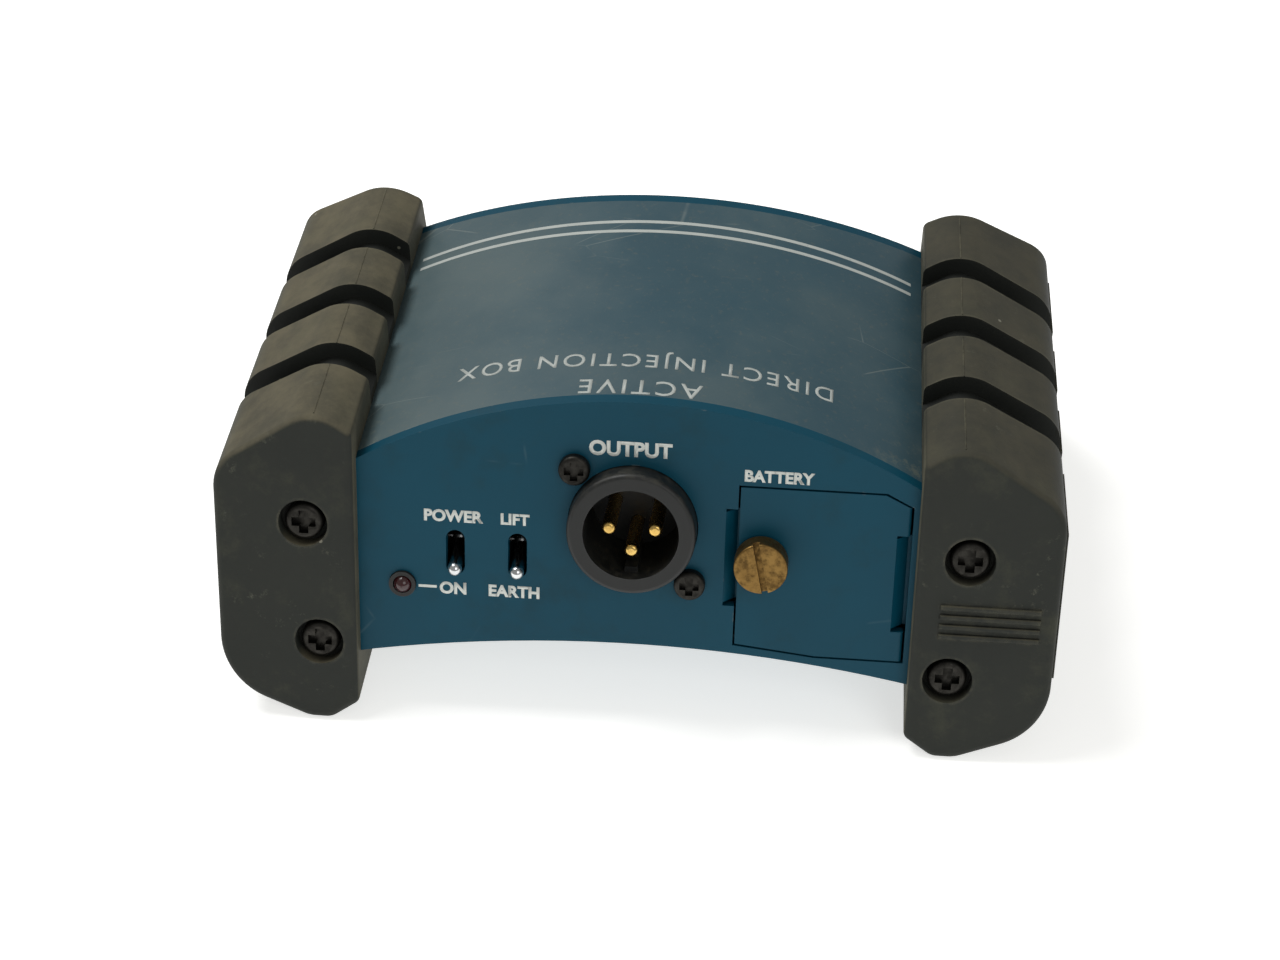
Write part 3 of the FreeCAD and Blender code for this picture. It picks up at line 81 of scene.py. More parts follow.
# ---- node building ------------------------------------------------------------------------
class Finish:
    """One procedural material: helpers that add nodes and return their output sockets."""

    def __init__(self, name, metallic=0.0, **sockets):
        self.material = bpy.data.materials.new(name)
        self.material.use_nodes = True
        self.tree = self.material.node_tree
        self.shader = self.tree.nodes["Principled BSDF"]
        self.shader.inputs["Metallic"].default_value = metallic
        for socket, value in sockets.items():
            self.shader.inputs[socket.replace("_", " ")].default_value = value
        self.place = self.node("ShaderNodeTexCoord").outputs["Object"]
        self.geometry = self.node("ShaderNodeNewGeometry")

    def node(self, kind, settings=None, **inputs):
        made = self.tree.nodes.new(kind)
        for key, value in (settings or {}).items():
            setattr(made, key, value)
        for key, value in inputs.items():
            self.put(made.inputs[key.replace("_", " ")], value)
        return made

    def put(self, socket, value):
        if isinstance(value, bpy.types.NodeSocket):
            self.tree.links.new(value, socket)
        else:
            socket.default_value = value

    def sum(self, operation, *values):
        made = self.node("ShaderNodeMath", {"operation": operation})
        for socket, value in zip(made.inputs, values):
            self.put(socket, value)
        return made.outputs[0]

    def along(self, direction, where=None):
        """The length of a place along a direction."""
        made = self.node("ShaderNodeVectorMath", {"operation": "DOT_PRODUCT"})
        self.put(made.inputs[0], where or self.place)
        self.put(made.inputs[1], tuple(direction))
        return made.outputs["Value"]

    def noise(self, size, detail=4.0, roughness=0.55, stretch=(1, 1, 1), seed=0.0):
        """Cloudy noise whose blotches are about this many metres across."""
        mapping = self.node("ShaderNodeMapping", Vector=self.place)
        mapping.inputs["Location"].default_value = (seed, seed, seed)
        mapping.inputs["Scale"].default_value = stretch
        made = self.node("ShaderNodeTexNoise", Vector=mapping.outputs[0], Scale=1 / size,
                         Detail=detail, Roughness=roughness)
        return made.outputs[0]

    def scratches(self, size, turn, seed=0.0, width=0.012):
        """A few straight fine lines: edges of long cells, most of them masked out."""
        mapping = self.node("ShaderNodeMapping", Vector=self.place)
        mapping.inputs["Location"].default_value = (seed, 0, seed)
        mapping.inputs["Rotation"].default_value = turn
        mapping.inputs["Scale"].default_value = (1, 3, 1)
        made = self.node("ShaderNodeTexVoronoi", {"feature": "DISTANCE_TO_EDGE"},
                         Vector=mapping.outputs[0], Scale=1 / size)
        line = self.step(made.outputs["Distance"], width, 0.0)
        return self.sum("MULTIPLY", line, self.step(self.noise(size * 0.6, 3, seed=seed + 3), 0.58, 0.66))

    def step(self, value, start, end):
        """0 at start and 1 at end, smooth between."""
        made = self.node("ShaderNodeMapRange", {"interpolation_type": "SMOOTHSTEP", "clamp": True})
        self.put(made.inputs["Value"], value)
        low, high = (start, end) if start < end else (end, start)
        made.inputs["From Min"].default_value = low
        made.inputs["From Max"].default_value = high
        made.inputs["To Min"].default_value = 0.0 if start < end else 1.0
        made.inputs["To Max"].default_value = 1.0 if start < end else 0.0
        return made.outputs["Result"]

    def range(self, value, low, high):
        made = self.node("ShaderNodeMapRange", {"clamp": True})
        self.put(made.inputs["Value"], value)
        made.inputs["To Min"].default_value = low
        made.inputs["To Max"].default_value = high
        return made.outputs["Result"]

    def mix(self, share, first, second):
        made = self.node("ShaderNodeMix", {"data_type": "RGBA"})
        self.put(made.inputs[0], share)
        for socket, value in ((made.inputs[6], first), (made.inputs[7], second)):
            self.put(socket, value if isinstance(value, bpy.types.NodeSocket) else (*value, 1.0))
        return made.outputs[2]

    def edges(self, width):
        """1 on edges, 0 on broad faces: where a rounded normal leaves the true one."""
        round_normal = self.node("ShaderNodeBevel", {"samples": 4}, Radius=width).outputs[0]
        made = self.node("ShaderNodeVectorMath", {"operation": "DOT_PRODUCT"})
        self.put(made.inputs[0], round_normal)
        self.put(made.inputs[1], self.geometry.outputs["Normal"])
        return self.step(made.outputs["Value"], 0.995, 0.8)

    def hollow(self, reach):
        """1 deep in holes and grooves, 0 on open faces."""
        made = self.node("ShaderNodeAmbientOcclusion", {"samples": 6, "only_local": True}, Distance=reach)
        return self.step(made.outputs["AO"], 0.72, 0.3)

    def facing(self, direction, start, end):
        """1 where the surface looks along a direction."""
        return self.step(self.along(direction, self.geometry.outputs["Normal"]), start, end)

    def bump(self, height, depth, strength=1.0, base=None):
        made = self.node("ShaderNodeBump", Height=height, Distance=depth, Strength=strength)
        if base is not None:
            self.put(made.inputs["Normal"], base)
        return made.outputs[0]

    def done(self, colour, roughness, normal=None, metallic=None):
        self.put(self.shader.inputs["Base Color"], colour)
        self.put(self.shader.inputs["Roughness"], roughness)
        if normal is not None:
            self.put(self.shader.inputs["Normal"], normal)
        if metallic is not None:
            self.put(self.shader.inputs["Metallic"], metallic)
        return self.material


def srgb(red, green, blue):
    """A colour given as it looks on screen, 0 to 255, as linear light."""
    return tuple(((c / 255 + 0.055) / 1.055) ** 2.4 if c > 10 else c / 255 / 12.92
                 for c in (red, green, blue))


# ---- finishes -----------------------------------------------------------------------------
BARE_METAL = srgb(150, 150, 140)
DUST = srgb(118, 113, 94)
PAINT = srgb(4, 73, 93)
PAINT_DARK = srgb(3, 62, 80)
PAINT_SHEEN = 0.25


def panel_paint():
    """Satin blue-green paint with a fine texture, a few pale chips and worn edges."""
    f = Finish("panel_paint", IOR=1.45, Specular_IOR_Level=PAINT_SHEEN)
    cloud = f.noise(0.022, 5)
    grime = f.step(f.noise(0.012, 6, 0.65, seed=4), 0.5, 0.75)
    colour = f.mix(cloud, PAINT_DARK, PAINT)
    colour = f.mix(f.sum("MULTIPLY", grime, 0.3), colour, srgb(34, 52, 52))
    specks = f.node("ShaderNodeTexVoronoi", Vector=f.place, Scale=110.0)
    chance = f.node("ShaderNodeSeparateColor", Color=specks.outputs["Color"]).outputs[0]
    chip = f.sum("MULTIPLY", f.step(specks.outputs["Distance"], 0.075, 0.045),
                 f.step(chance, 0.955, 0.965))
    worn = f.sum("MULTIPLY", f.edges(0.0004), f.step(f.noise(0.003, 4, seed=8), 0.62, 0.7))
    bare = f.sum("MAXIMUM", chip, f.sum("MULTIPLY", worn, 0.4))
    colour = f.mix(bare, colour, BARE_METAL)
    scratch = f.scratches(0.03, (0.3, 0.2, 0.5), 2.0)
    colour = f.mix(f.sum("MULTIPLY", scratch, 0.2), colour, srgb(92, 118, 126))
    peel = f.noise(0.0006, 2)
    rough = f.sum("ADD", f.range(cloud, 0.36, 0.5), f.sum("MULTIPLY", grime, 0.15))
    normal = f.bump(peel, 0.00004, 0.35)
    normal = f.bump(f.sum("SUBTRACT", 1.0, bare), 0.00006, 0.6, normal)
    return f.done(colour, rough, normal)


def case_paint():
    """The same paint, rubbed and dusty on the roof, with scuffs near its corners, and a painted reflection
    that lightens the roof and the case's left part.
    """
    f = Finish("case_paint", IOR=1.45)
    roof = f.facing((0, 0, 1), 0.5, 0.8)
    cloud = f.noise(0.03, 5, 0.6)
    haze = f.sum("MULTIPLY", f.step(f.noise(0.035, 6, 0.62, seed=5), 0.34, 0.7), roof)
    # left: mask for a painted reflection, lighter towards the case's left end
    left = f.step(f.along((1, 0, 0)), 0.0, -0.044)
    colour = f.mix(cloud, PAINT_DARK, PAINT)
    # painted reflection: every upward face is lightened towards grey, standing in for the roof's sheen
    colour = f.mix(f.sum("MULTIPLY", roof, 0.28), colour, srgb(92, 100, 96))
    # partly real and partly painted: the blotchy haze is real handling haze, and the lighter left part is a
    # painted reflection
    colour = f.mix(f.sum("MULTIPLY", f.sum("ADD", haze, left), 0.2), colour, srgb(118, 126, 118))
    fine = f.sum("MULTIPLY", f.step(f.noise(0.0011, 3, 0.7, seed=9), 0.55, 0.72), roof)
    colour = f.mix(f.sum("MULTIPLY", fine, 0.16), colour, DUST)
    lines = f.sum("MAXIMUM", f.scratches(0.045, (0, 0, 0.4), 1.0, 0.006),
                  f.scratches(0.035, (0, 0, -0.9), 6.0, 0.006))
    lines = f.sum("MULTIPLY", lines, roof)
    colour = f.mix(f.sum("MULTIPLY", lines, 0.35), colour, srgb(140, 148, 142))
    across = f.sum("ABSOLUTE", f.along((1, 0, 0)))
    corner = f.sum("MULTIPLY", f.step(across, 0.036, 0.048), f.step(f.along((0, 1, 0)), -0.018, -0.036))
    scuff = f.sum("MULTIPLY", corner, f.step(f.noise(0.004, 7, 0.75, seed=2), 0.5, 0.62))
    colour = f.mix(f.sum("MULTIPLY", scuff, 0.6), colour, srgb(120, 124, 110))
    front_left = f.sum("MULTIPLY", f.step(f.along((1, 0, 0)), -0.03, -0.038),
                       f.step(f.along((0, 1, 0)), -0.03, -0.034))
    worn = f.sum("MULTIPLY", f.edges(0.0006), f.step(f.noise(0.005, 5, 0.6, seed=7), 0.44, 0.56))
    worn = f.sum("MULTIPLY", worn, f.range(front_left, 0.06, 0.9))
    colour = f.mix(worn, colour, BARE_METAL)
    rough = f.sum("ADD", f.range(cloud, 0.34, 0.46), f.sum("MULTIPLY", haze, 0.14))
    normal = f.bump(f.noise(0.0006, 2), 0.00004, 0.35)
    normal = f.bump(f.sum("SUBTRACT", 1.0, f.sum("MAXIMUM", lines, worn)), 0.00003, 0.5, normal)
    return f.done(colour, rough, normal)


GROOVE_HALF_PITCH = 8.95 * MM
GROOVE_HALF_WIDTH = 3.0 * MM
GROOVES_REACH = 26.9 * MM      # from the middle to beyond the outermost groove
GROOVE_BOTTOM = 35.0 * MM
INNER_WALL_X = 48.5 * MM       # the thin wall beside the panel lies within this


def groove_mask(f):
    """1 inside the bumper's three grooves."""
    y = f.along((0, 1, 0))
    near = f.sum("PINGPONG", y, GROOVE_HALF_PITCH)
    inside = f.step(near, GROOVE_HALF_WIDTH + 0.1 * MM, GROOVE_HALF_WIDTH - 0.05 * MM)
    inside = f.sum("MULTIPLY", inside, f.step(f.sum("ABSOLUTE", y), GROOVES_REACH, GROOVES_REACH - 6 * MM))
    return f.sum("MULTIPLY", inside, f.step(f.along((0, 0, 1)), GROOVE_BOTTOM, GROOVE_BOTTOM + MM))


def bumper_rubber():
    """Matt moulded rubber: dust on the lands, grooves and hollows darkened as painted shade, rubbed edges
    and a fine grain.
    """
    f = Finish("bumper_rubber", IOR=1.4, Specular_IOR_Level=0.35)
    cloud = f.noise(0.018, 6, 0.6)
    colour = f.mix(cloud, srgb(36, 39, 36), srgb(52, 54, 49))
    # grooves and hollows: kept free of dust, and darkened below as painted shade
    recess_shade_and_clean = f.sum("MAXIMUM", groove_mask(f), f.hollow(0.004))
    open_face = f.sum("SUBTRACT", 1.0, recess_shade_and_clean)
    up = f.facing((0, 0, 1), 0.35, 0.8)
    left = f.step(f.along((1, 0, 0)), 0.03, -0.03)
    settle = f.step(f.noise(0.007, 7, 0.68, seed=3), 0.28, 0.7)
    dust = f.sum("MULTIPLY", f.sum("MULTIPLY", up, f.range(settle, 0.45, 1.0)), open_face)
    share = f.sum("MULTIPLY", dust, f.range(left, 0.3, 0.72))
    colour = f.mix(share, colour, srgb(114, 107, 86))
    film = f.sum("MULTIPLY", f.step(f.noise(0.011, 6, 0.7, seed=12), 0.5, 0.78), open_face)
    colour = f.mix(f.sum("MULTIPLY", film, 0.34), colour, srgb(84, 84, 66))
    scuff = f.sum("MULTIPLY", f.step(f.noise(0.0028, 8, 0.8, seed=21), 0.56, 0.72),
                  f.step(f.noise(0.012, 4, 0.6, seed=23), 0.46, 0.66))
    colour = f.mix(f.sum("MULTIPLY", f.sum("MULTIPLY", scuff, open_face), 0.5), colour, srgb(112, 112, 96))
    rub = f.sum("MULTIPLY", f.edges(0.0011), f.step(f.noise(0.003, 6, 0.7, seed=6), 0.38, 0.62))
    colour = f.mix(f.sum("MULTIPLY", f.sum("MULTIPLY", rub, open_face), 0.4), colour, srgb(116, 112, 92))
    across = f.sum("ABSOLUTE", f.along((1, 0, 0)))
    sideways = f.step(f.sum("ABSOLUTE", f.along((1, 0, 0), f.geometry.outputs["Normal"])), 0.8, 0.95)
    wall = f.sum("MULTIPLY", f.step(across, INNER_WALL_X, INNER_WALL_X - 0.2 * MM), sideways)
    colour = f.mix(f.sum("MULTIPLY", wall, f.range(settle, 0.3, 0.6)), colour, srgb(108, 104, 86))
    # painted shade: grooves and hollows darkened almost to black
    colour = f.mix(f.sum("MULTIPLY", recess_shade_and_clean, 0.62), colour, srgb(13, 15, 14))
    flecks = f.node("ShaderNodeTexVoronoi", Vector=f.place, Scale=260.0)
    chance = f.node("ShaderNodeSeparateColor", Color=flecks.outputs["Color"]).outputs[0]
    fleck = f.sum("MULTIPLY", f.step(flecks.outputs["Distance"], 0.11, 0.06), f.step(chance, 0.965, 0.972))
    colour = f.mix(f.sum("MULTIPLY", fleck, 0.6), colour, srgb(150, 148, 132))
    rough = f.sum("ADD", f.range(cloud, 0.62, 0.76), f.sum("MULTIPLY", dust, 0.16))
    normal = f.bump(f.noise(0.0005, 3, 0.7), 0.00006, 0.4)
    normal = f.bump(f.noise(0.004, 4, 0.6, seed=1), 0.0003, 0.25, normal)
    return f.done(colour, rough, normal)


def metal(name, dark, light, tarnish, rough, tarnish_share=0.5, grain=0.0015, stretch=(1, 1, 1)):
    """Metal with tarnish in blotches, bright worn edges and fine tooling marks."""
    f = Finish(name, metallic=1.0)
    cloud = f.noise(grain * 2, 5, 0.6)
    colour = f.mix(cloud, dark, light)
    film = f.step(f.noise(grain, 6, 0.65, seed=2), 0.4, 0.66)
    colour = f.mix(f.sum("MULTIPLY", film, tarnish_share), colour, tarnish)
    bright = f.sum("MULTIPLY", f.edges(0.0002), f.step(f.noise(0.001, 3, seed=5), 0.4, 0.6))
    colour = f.mix(f.sum("MULTIPLY", bright, 0.6), colour, light)
    rough = f.sum("ADD", f.range(cloud, *rough), f.sum("MULTIPLY", film, 0.15))
    normal = f.bump(f.noise(0.0002, 3, 0.6, stretch), 0.00001, 0.5)
    return f.done(colour, rough, normal)


def plastic(name, dark, light, rough=(0.35, 0.5), dust=0.25, grain=0.0006, **sockets):
    """Moulded plastic with a fine grain, handling haze and dust on what faces up."""
    f = Finish(name, IOR=1.48, **sockets)
    cloud = f.noise(0.006, 5, 0.6)
    colour = f.mix(cloud, dark, light)
    up = f.sum("MULTIPLY", f.facing((0, 0, 1), 0.2, 0.9), f.step(f.noise(0.002, 6, 0.7, seed=3), 0.4, 0.7))
    colour = f.mix(f.sum("MULTIPLY", up, dust), colour, DUST)
    rub = f.sum("MULTIPLY", f.edges(0.0003), f.step(f.noise(0.0015, 4, seed=6), 0.4, 0.65))
    colour = f.mix(f.sum("MULTIPLY", rub, 0.3), colour, tuple(0.5 * c + 0.12 for c in light))
    rough = f.sum("ADD", f.range(cloud, *rough), f.sum("MULTIPLY", up, 0.2))
    normal = f.bump(f.noise(grain, 3, 0.6), 0.00002, 0.4)
    return f.done(colour, rough, normal)


def print_ink(name, dark, light):
    """Screen-printed ink, thin and rubbed through here and there."""
    f = Finish(name, IOR=1.45)
    worn = f.step(f.noise(0.0011, 6, 0.75, seed=1), 0.6, 0.72)
    colour = f.mix(f.noise(0.004, 4), dark, light)
    colour = f.mix(f.sum("MULTIPLY", worn, 0.55), colour, srgb(96, 122, 130))
    return f.done(colour, f.range(worn, 0.45, 0.6), f.bump(f.noise(0.0004, 3), 0.00001, 0.4))


FINISHES = {
    "case_paint": case_paint(),
    "panel_paint": panel_paint(),
    "bumper_rubber": bumper_rubber(),
    "dark_screws": metal("dark_screws", srgb(40, 39, 37), srgb(70, 68, 64), srgb(30, 29, 27), (0.38, 0.5)),
    "worn_brass": metal("worn_brass", srgb(112, 84, 46), srgb(160, 128, 74),
                        srgb(62, 46, 28), (0.34, 0.46), 0.65),
    "zinc_steel": metal("zinc_steel", srgb(150, 152, 156), srgb(188, 190, 192),
                        srgb(128, 126, 118), (0.28, 0.4), 0.3),
    "connector_black": plastic("connector_black", srgb(14, 15, 15), srgb(27, 29, 28), (0.4, 0.52), 0.14),
    "gold_contacts": metal("gold_contacts", srgb(214, 172, 88), srgb(238, 205, 128),
                           srgb(180, 134, 66), (0.16, 0.26), 0.25),
    "latch_metal": metal("latch_metal", srgb(148, 148, 146), srgb(190, 190, 188),
                         srgb(110, 108, 102), (0.26, 0.38), 0.35),
    "jack_nuts": metal("jack_nuts", srgb(176, 174, 168), srgb(212, 210, 204),
                       srgb(140, 134, 120), (0.18, 0.3), 0.3),
    "led_red": plastic("led_red", srgb(38, 5, 11), srgb(60, 10, 17), (0.12, 0.2), 0.12, Coat_Weight=0.5),
    "board_green": plastic("board_green", srgb(18, 66, 38), srgb(30, 92, 52), (0.25, 0.36), 0.2),
    "core_steel": metal("core_steel", srgb(128, 130, 134), srgb(164, 166, 168),
                        srgb(104, 92, 76), (0.36, 0.5), 0.4,
                        stretch=(1, 1, 12)),
    "coil_tape": plastic("coil_tape", srgb(168, 126, 48), srgb(196, 152, 66), (0.3, 0.42), 0.2),
    "capacitor_sleeve": plastic("capacitor_sleeve", srgb(24, 40, 96), srgb(36, 56, 124), (0.24, 0.34), 0.2),
    "battery_wrap": plastic("battery_wrap", srgb(54, 56, 60), srgb(72, 74, 78), (0.25, 0.35), 0.15),
    "lead_sleeve": plastic("lead_sleeve", srgb(140, 22, 20), srgb(168, 34, 30), (0.35, 0.45), 0.15),
    "bare_aluminium": metal("bare_aluminium", srgb(182, 184, 186), srgb(212, 213, 214), srgb(160, 160, 158),
                            (0.3, 0.42), 0.3, stretch=(20, 1, 1)),
    "foam": plastic("foam", srgb(48, 48, 50), srgb(70, 70, 72), (0.85, 0.95), 0.1, 0.0009),
    "lever_chrome": metal("lever_chrome", srgb(206, 208, 210), srgb(232, 233, 234), srgb(170, 170, 166),
                          (0.08, 0.16), 0.2),
}
INK = print_ink("print_ink", srgb(206, 210, 204), srgb(226, 229, 223))
ROOF_INK = print_ink("roof_ink", srgb(168, 174, 170), srgb(192, 197, 192))


def dress_cad():
    """Every CAD node takes the finish of the record slot it was packed with."""
    for node in NODES.values():
        for slot in node.material_slots:
            slot.material = FINISHES[slot.material.name]


# ---- printing -----------------------------------------------------------------------------
INK_THICKNESS = 0.02 * MM
INK_SUNK = 0.01 * MM         # kept below the surface so that the print has no gap under it


def plain_mesh(name, mesh, slot_name, body="case", material=None):
    piece = bpy.data.objects.new(name, mesh)
    SCENE.collection.objects.link(piece)
    mesh.materials.clear()
    mesh.materials.append(material or FINISHES[slot_name])
    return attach(piece, body)


def text_mesh(words, width, bold, spacing=1.0):
    """Bold capitals as a flat mesh in the x, y plane, centred on the origin, this wide."""
    curve = bpy.data.curves.new("words", "FONT")
    curve.body = words
    curve.offset = bold
    curve.space_character = spacing
    curve.resolution_u = 4
    holder = bpy.data.objects.new("words", curve)
    SCENE.collection.objects.link(holder)
    bpy.context.view_layer.update()
    mesh = bpy.data.meshes.new_from_object(holder.evaluated_get(bpy.context.evaluated_depsgraph_get()))
    bpy.data.objects.remove(holder)
    bpy.data.curves.remove(curve)
    xs = [v.co.x for v in mesh.vertices]
    ys = [v.co.y for v in mesh.vertices]
    scale = width / (max(xs) - min(xs))
    centre = Vector(((max(xs) + min(xs)) / 2, (max(ys) + min(ys)) / 2, 0))
    mesh.transform(Matrix.Scale(scale, 4) @ Matrix.Translation(-centre))
    return mesh


def thicken(mesh):
    """Turns a flat print in the x, y plane into a film of ink."""
    shape = bmesh.new()
    shape.from_mesh(mesh)
    bmesh.ops.remove_doubles(shape, verts=shape.verts, dist=1e-7)
    bmesh.ops.translate(shape, verts=shape.verts, vec=(0, 0, -INK_SUNK))
    bmesh.ops.recalc_face_normals(shape, faces=shape.faces)
    grown = bmesh.ops.extrude_face_region(shape, geom=shape.faces[:])
    raised = [g for g in grown["geom"] if isinstance(g, bmesh.types.BMVert)]
    bmesh.ops.translate(shape, verts=raised, vec=(0, 0, INK_SUNK + INK_THICKNESS))
    bmesh.ops.recalc_face_normals(shape, faces=shape.faces)
    shape.to_mesh(mesh)
    shape.free()


# words, middle x and y on the panel in mm, width in mm
OUTPUT_WORDS = [
    ("OUTPUT", -1.05, 54.1, 14.1),
    ("POWER", -31.25, 39.9, 10.3),
    ("LIFT", -20.6, 39.9, 5.0),
    ("ON", -31.45, 26.2, 4.7),
    ("EARTH", -20.75, 26.2, 8.9),
    ("BATTERY", 24.2, 50.5, 11.8),
]
INPUT_WORDS = [
    ("MIC", -14.0, 54.1, 6.4),
    ("INPUT", 12.0, 50.4, 9.6),
    ("LINK", 33.0, 47.2, 7.4),
    ("PAD", -38.2, 45.6, 7.0),
    ("20", -33.0, 40.3, 3.4),
    ("40", -43.3, 40.3, 3.4),
]
DASH = (-35.9, 26.3, 3.2, 0.5)     # from the light to its word: middle x, y, length and height in mm
BOLD = 0.042                       # outline growth, in letter heights


def print_words(side, words, frame_matrix):
    for text, x, y, width in words:
        mesh = text_mesh(text, width * MM, BOLD)
        thicken(mesh)
        mesh.transform(frame_matrix @ Matrix.Translation((x * MM, y * MM, 0)))
        name = f"{side}_print_{text.lower()}"
        plain_mesh(name, mesh, "panel_paint", material=INK)


def print_dash():
    x, y, length, height = (value * MM for value in DASH)
    shape = bmesh.new()
    corners = [(x - length / 2, y - height / 2), (x + length / 2, y - height / 2),
               (x + length / 2, y + height / 2), (x - length / 2, y + height / 2)]
    shape.faces.new([shape.verts.new((a, b, 0)) for a, b in corners])
    mesh = bpy.data.meshes.new("output_print_dash")
    shape.to_mesh(mesh)
    shape.free()
    thicken(mesh)
    mesh.transform(OUTPUT_PANEL)
    plain_mesh("output_print_dash", mesh, "panel_paint", material=INK)


# roof printing lies on the arch, read from the case itself
def roof_height(x, y):
    return NODES["case_shell"].ray_cast(Vector((x, y, RAY_START)), DOWN)[1].z


def arch_circle():
    """Centre height and radius of the roof, from three points of it."""
    reach = 40 * MM
    top, side = roof_height(0, 0), roof_height(reach, 0)
    drop = top - side
    radius = (reach ** 2 + drop ** 2) / (2 * drop)
    return top - radius, radius


def wrap_on_roof(mesh, y):
    """Bends a print from its own x, y plane onto the arch, with its middle at y."""
    centre, radius = arch_circle()
    for vertex in mesh.vertices:
        angle = vertex.co.x / radius
        out = radius + vertex.co.z
        vertex.co = Vector((out * math.sin(angle), y + vertex.co.y, centre + out * math.cos(angle)))


ROOF_CUTS = 12               # cuts to each side of the middle, so that a word can bend
ROOF_LINES = [("DIRECT INJECTION BOX", -0.0195, 0.066), ("ACTIVE", -0.0275, 0.021)]
STRIPES = [(0.0227, 0.9), (0.0196, 0.9)]        # place along the roof in metres, width in mm
STRIPE_REACH = 0.0478
STRIPE_STEPS = 96
ROOF_BOLD = 0.006            # thin strokes, set wide apart
ROOF_SPACING = 1.2


def print_roof():
    for number, (words, y, width) in enumerate(ROOF_LINES):
        mesh = text_mesh(words, width, ROOF_BOLD, ROOF_SPACING)
        shape = bmesh.new()
        shape.from_mesh(mesh)
        for part in range(-ROOF_CUTS, ROOF_CUTS + 1):
            bmesh.ops.bisect_plane(shape, geom=shape.faces[:] + shape.edges[:] + shape.verts[:],
                                   plane_co=(part * width / (2 * ROOF_CUTS), 0, 0), plane_no=(1, 0, 0))
        shape.to_mesh(mesh)
        shape.free()
        thicken(mesh)
        mesh.transform(Matrix.Rotation(math.pi, 4, "Z"))
        wrap_on_roof(mesh, y)
        plain_mesh(f"roof_print_line_{number + 1}", mesh, "case_paint", material=ROOF_INK)
    for number, (y, width) in enumerate(STRIPES):
        shape = bmesh.new()
        rows = []
        for step in range(STRIPE_STEPS + 1):
            x = STRIPE_REACH * (2 * step / STRIPE_STEPS - 1)
            rows.append([shape.verts.new((x, side * width * MM / 2, 0)) for side in (-1, 1)])
        for first, second in zip(rows, rows[1:]):
            shape.faces.new((first[0], second[0], second[1], first[1]))
        mesh = bpy.data.meshes.new(f"roof_stripe_{number + 1}")
        shape.to_mesh(mesh)
        shape.free()
        thicken(mesh)
        wrap_on_roof(mesh, y)
        plain_mesh(f"roof_stripe_{number + 1}", mesh, "case_paint", material=ROOF_INK)


# ---- mould lines --------------------------------------------------------------------------
SEAM_HALF = 0.22 * MM
SEAM_HEIGHT = 0.16 * MM
SEAM_PITCH = 0.35 * MM
SEAM_SUNK = 0.05 * MM
SEAM_END_GAP = 17.5 * MM     # the raked ends reach in this far at the crest


def mould_line(name, node, x):
    """A thin flash line along the crest of each land of a bumper."""
    low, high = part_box(node)
    target = NODES[node]
    runs, y = [[]], low.y + SEAM_END_GAP
    while y < high.y - SEAM_END_GAP:
        place, normal = target.ray_cast(Vector((x, y, RAY_START)), DOWN)[1:3]
        if place.z > high.z - MM:
            runs[-1].append((place, normal))
        elif runs[-1]:
            runs.append([])
        y += SEAM_PITCH
    shape = bmesh.new()
    side = Vector((SEAM_HALF, 0, 0))
    for run in runs:
        ring = []
        for place, normal in run:
            foot = place - normal * SEAM_SUNK
            ring.append([shape.verts.new(foot - side), shape.verts.new(place + normal * SEAM_HEIGHT),
                         shape.verts.new(foot + side)])
        for first, second in zip(ring, ring[1:]):
            for a in range(3):
                b = (a + 1) % 3
                shape.faces.new((first[a], first[b], second[b], second[a]))
        if ring:
            shape.faces.new(ring[0])
            shape.faces.new(list(reversed(ring[-1])))
    bmesh.ops.recalc_face_normals(shape, faces=shape.faces)
    mesh = bpy.data.meshes.new(name)
    shape.to_mesh(mesh)
    shape.free()
    plain_mesh(name, mesh, "bumper_rubber")


# ---- foam pad under the battery -----------------------------------------------------------
PAD_ROUND = 0.35 * MM        # rounding of its edges
PAD_PULL = 0.25 * MM         # top and bottom edges stand back this far from the middle


def foam_pad():
    """A foam strip that bulges a little at its sides, as squeezed foam does."""
    low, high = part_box("battery_pad")
    size, middle = high - low, (high + low) / 2
    shape = bmesh.new()
    bmesh.ops.create_cube(shape, size=1.0)
    bmesh.ops.scale(shape, verts=shape.verts, vec=size)
    bmesh.ops.bevel(shape, geom=shape.edges[:], offset=PAD_ROUND, segments=3, affect="EDGES", profile=0.6)
    bmesh.ops.subdivide_edges(shape, edges=[e for e in shape.edges if e.calc_length() > 0.004], cuts=9,
                              use_grid_fill=True)
    for vertex in shape.verts:
        level = vertex.co.z / (size.z / 2)
        pull = PAD_PULL * abs(level) ** 2
        for axis in (0, 1):
            if abs(vertex.co[axis]) > size[axis] / 2 - 0.5 * MM:
                vertex.co[axis] -= math.copysign(pull, vertex.co[axis])
    bmesh.ops.translate(shape, verts=shape.verts, vec=middle)
    mesh = bpy.data.meshes.new("battery_foam_pad")
    shape.to_mesh(mesh)
    shape.free()
    pad = plain_mesh("battery_foam_pad", mesh, "foam")
    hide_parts("battery_pad")


# ---- stage --------------------------------------------------------------------------------
CAMERA_PLACE = Vector((0.0283, -0.3317, 0.2936))
CAMERA_YAW = math.radians(5.34)      # to the left of straight on
CAMERA_PITCH = math.radians(39.84)   # downwards
CAMERA_ROLL = math.radians(-0.14)
CAMERA_LENS = 64.4
FLOOR_REACH = 6.0
FLOOR_GLOW = 0.62
SKY_STRENGTH = 0.3
KEY_LIGHT = ((-0.45, 0.25, 0.95), 0.55, 7.0)     # place, size in metres, power in watts
FILL_LIGHT = ((0.6, -0.9, 0.8), 0.8, 2.6)
LIGHT_TARGET = Vector((0, 0, 0.03))


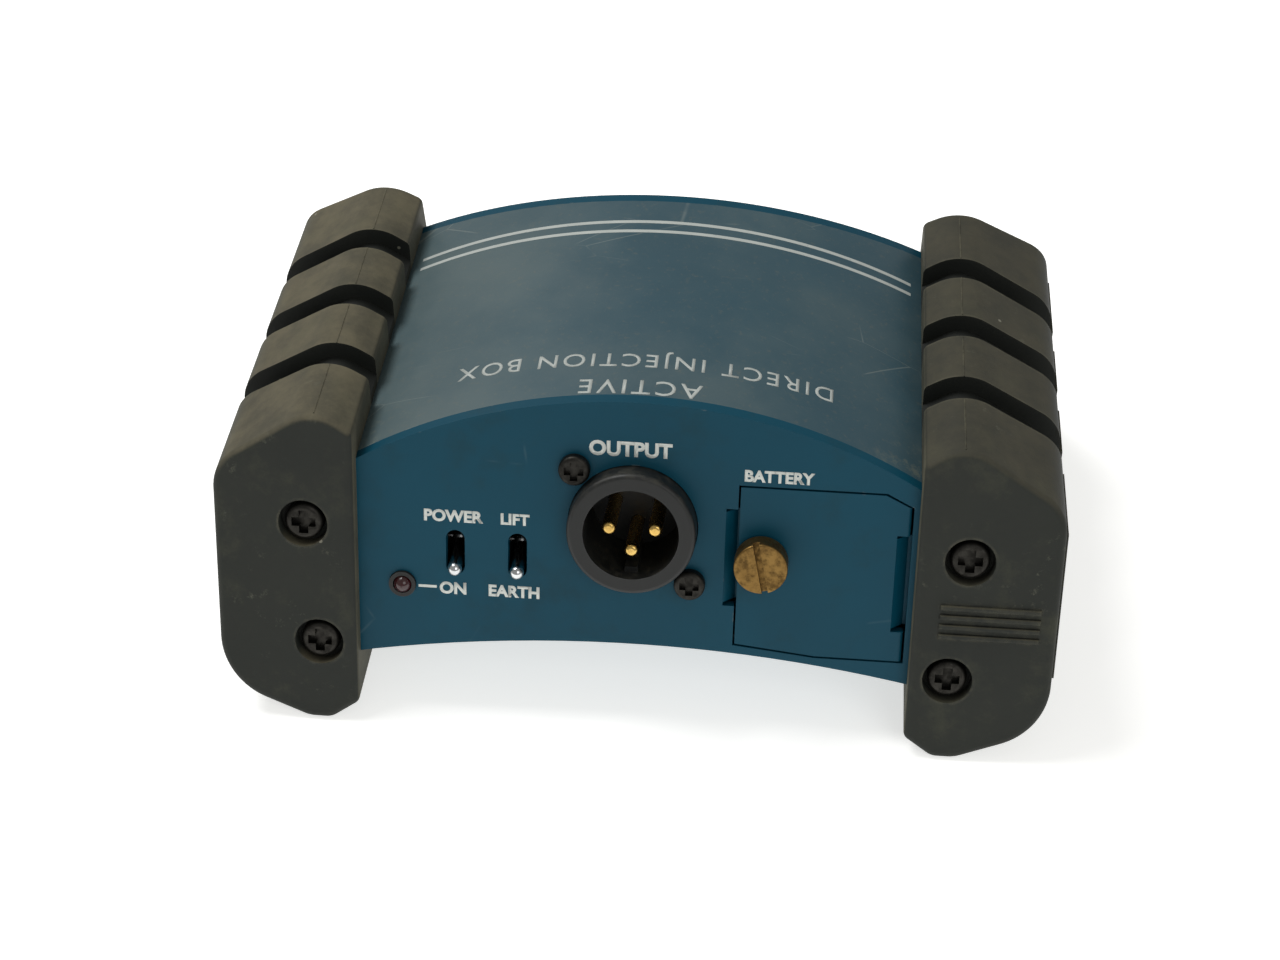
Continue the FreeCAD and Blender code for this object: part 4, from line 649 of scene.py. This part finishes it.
def make_camera():
    data = bpy.data.cameras.new("camera")
    data.sensor_fit = "HORIZONTAL"
    data.sensor_width = 36.0
    data.lens = CAMERA_LENS
    data.clip_start, data.clip_end = 0.01, 20.0
    camera = bpy.data.objects.new("camera", data)
    SCENE.collection.objects.link(camera)
    turn = Matrix.Rotation(CAMERA_YAW, 4, "Z") @ Matrix.Rotation(math.pi / 2 - CAMERA_PITCH, 4, "X")
    camera.matrix_world = Matrix.Translation(CAMERA_PLACE) @ turn @ Matrix.Rotation(CAMERA_ROLL, 4, "Z")
    SCENE.camera = camera


def make_light(name, place, size, power):
    data = bpy.data.lights.new(name, "AREA")
    data.shape = "DISK"
    data.size = size
    data.energy = power
    light = bpy.data.objects.new(name, data)
    SCENE.collection.objects.link(light)
    light.location = place
    aim = LIGHT_TARGET - Vector(place)
    light.rotation_mode = "QUATERNION"
    light.rotation_quaternion = aim.to_track_quat("-Z", "Y")


def make_stage():
    mesh = bpy.data.meshes.new("floor")
    reach = FLOOR_REACH
    mesh.from_pydata([(-reach, -reach, 0), (reach, -reach, 0), (reach, reach, 0), (-reach, reach, 0)], [],
                     [(0, 1, 2, 3)])
    floor = bpy.data.objects.new("floor", mesh)
    SCENE.collection.objects.link(floor)
    f = Finish("floor_sheet", Emission_Color=(1.0, 1.0, 0.985, 1.0), Emission_Strength=FLOOR_GLOW)
    cloud = f.noise(0.4, 3)
    mesh.materials.append(f.done(f.mix(cloud, (0.84, 0.84, 0.825), (0.86, 0.86, 0.845)), 0.9))
    world = bpy.data.worlds.new("studio")
    SCENE.world = world
    world.use_nodes = True
    background = world.node_tree.nodes["Background"]
    background.inputs["Color"].default_value = (1.0, 1.0, 0.98, 1.0)
    background.inputs["Strength"].default_value = SKY_STRENGTH
    make_light("key_softbox", *KEY_LIGHT)
    make_light("fill_softbox", *FILL_LIGHT)
    SCENE.view_settings.view_transform = "Standard"


dress_cad()
print_words("output", OUTPUT_WORDS, OUTPUT_PANEL)
print_words("input", INPUT_WORDS, INPUT_PANEL)
print_dash()
print_roof()
for side, place in (("left", -CREST_X), ("right", CREST_X)):
    mould_line(f"bumper_{side}_mould_line", f"bumper_{side}", place)
foam_pad()
make_stage()
make_camera()
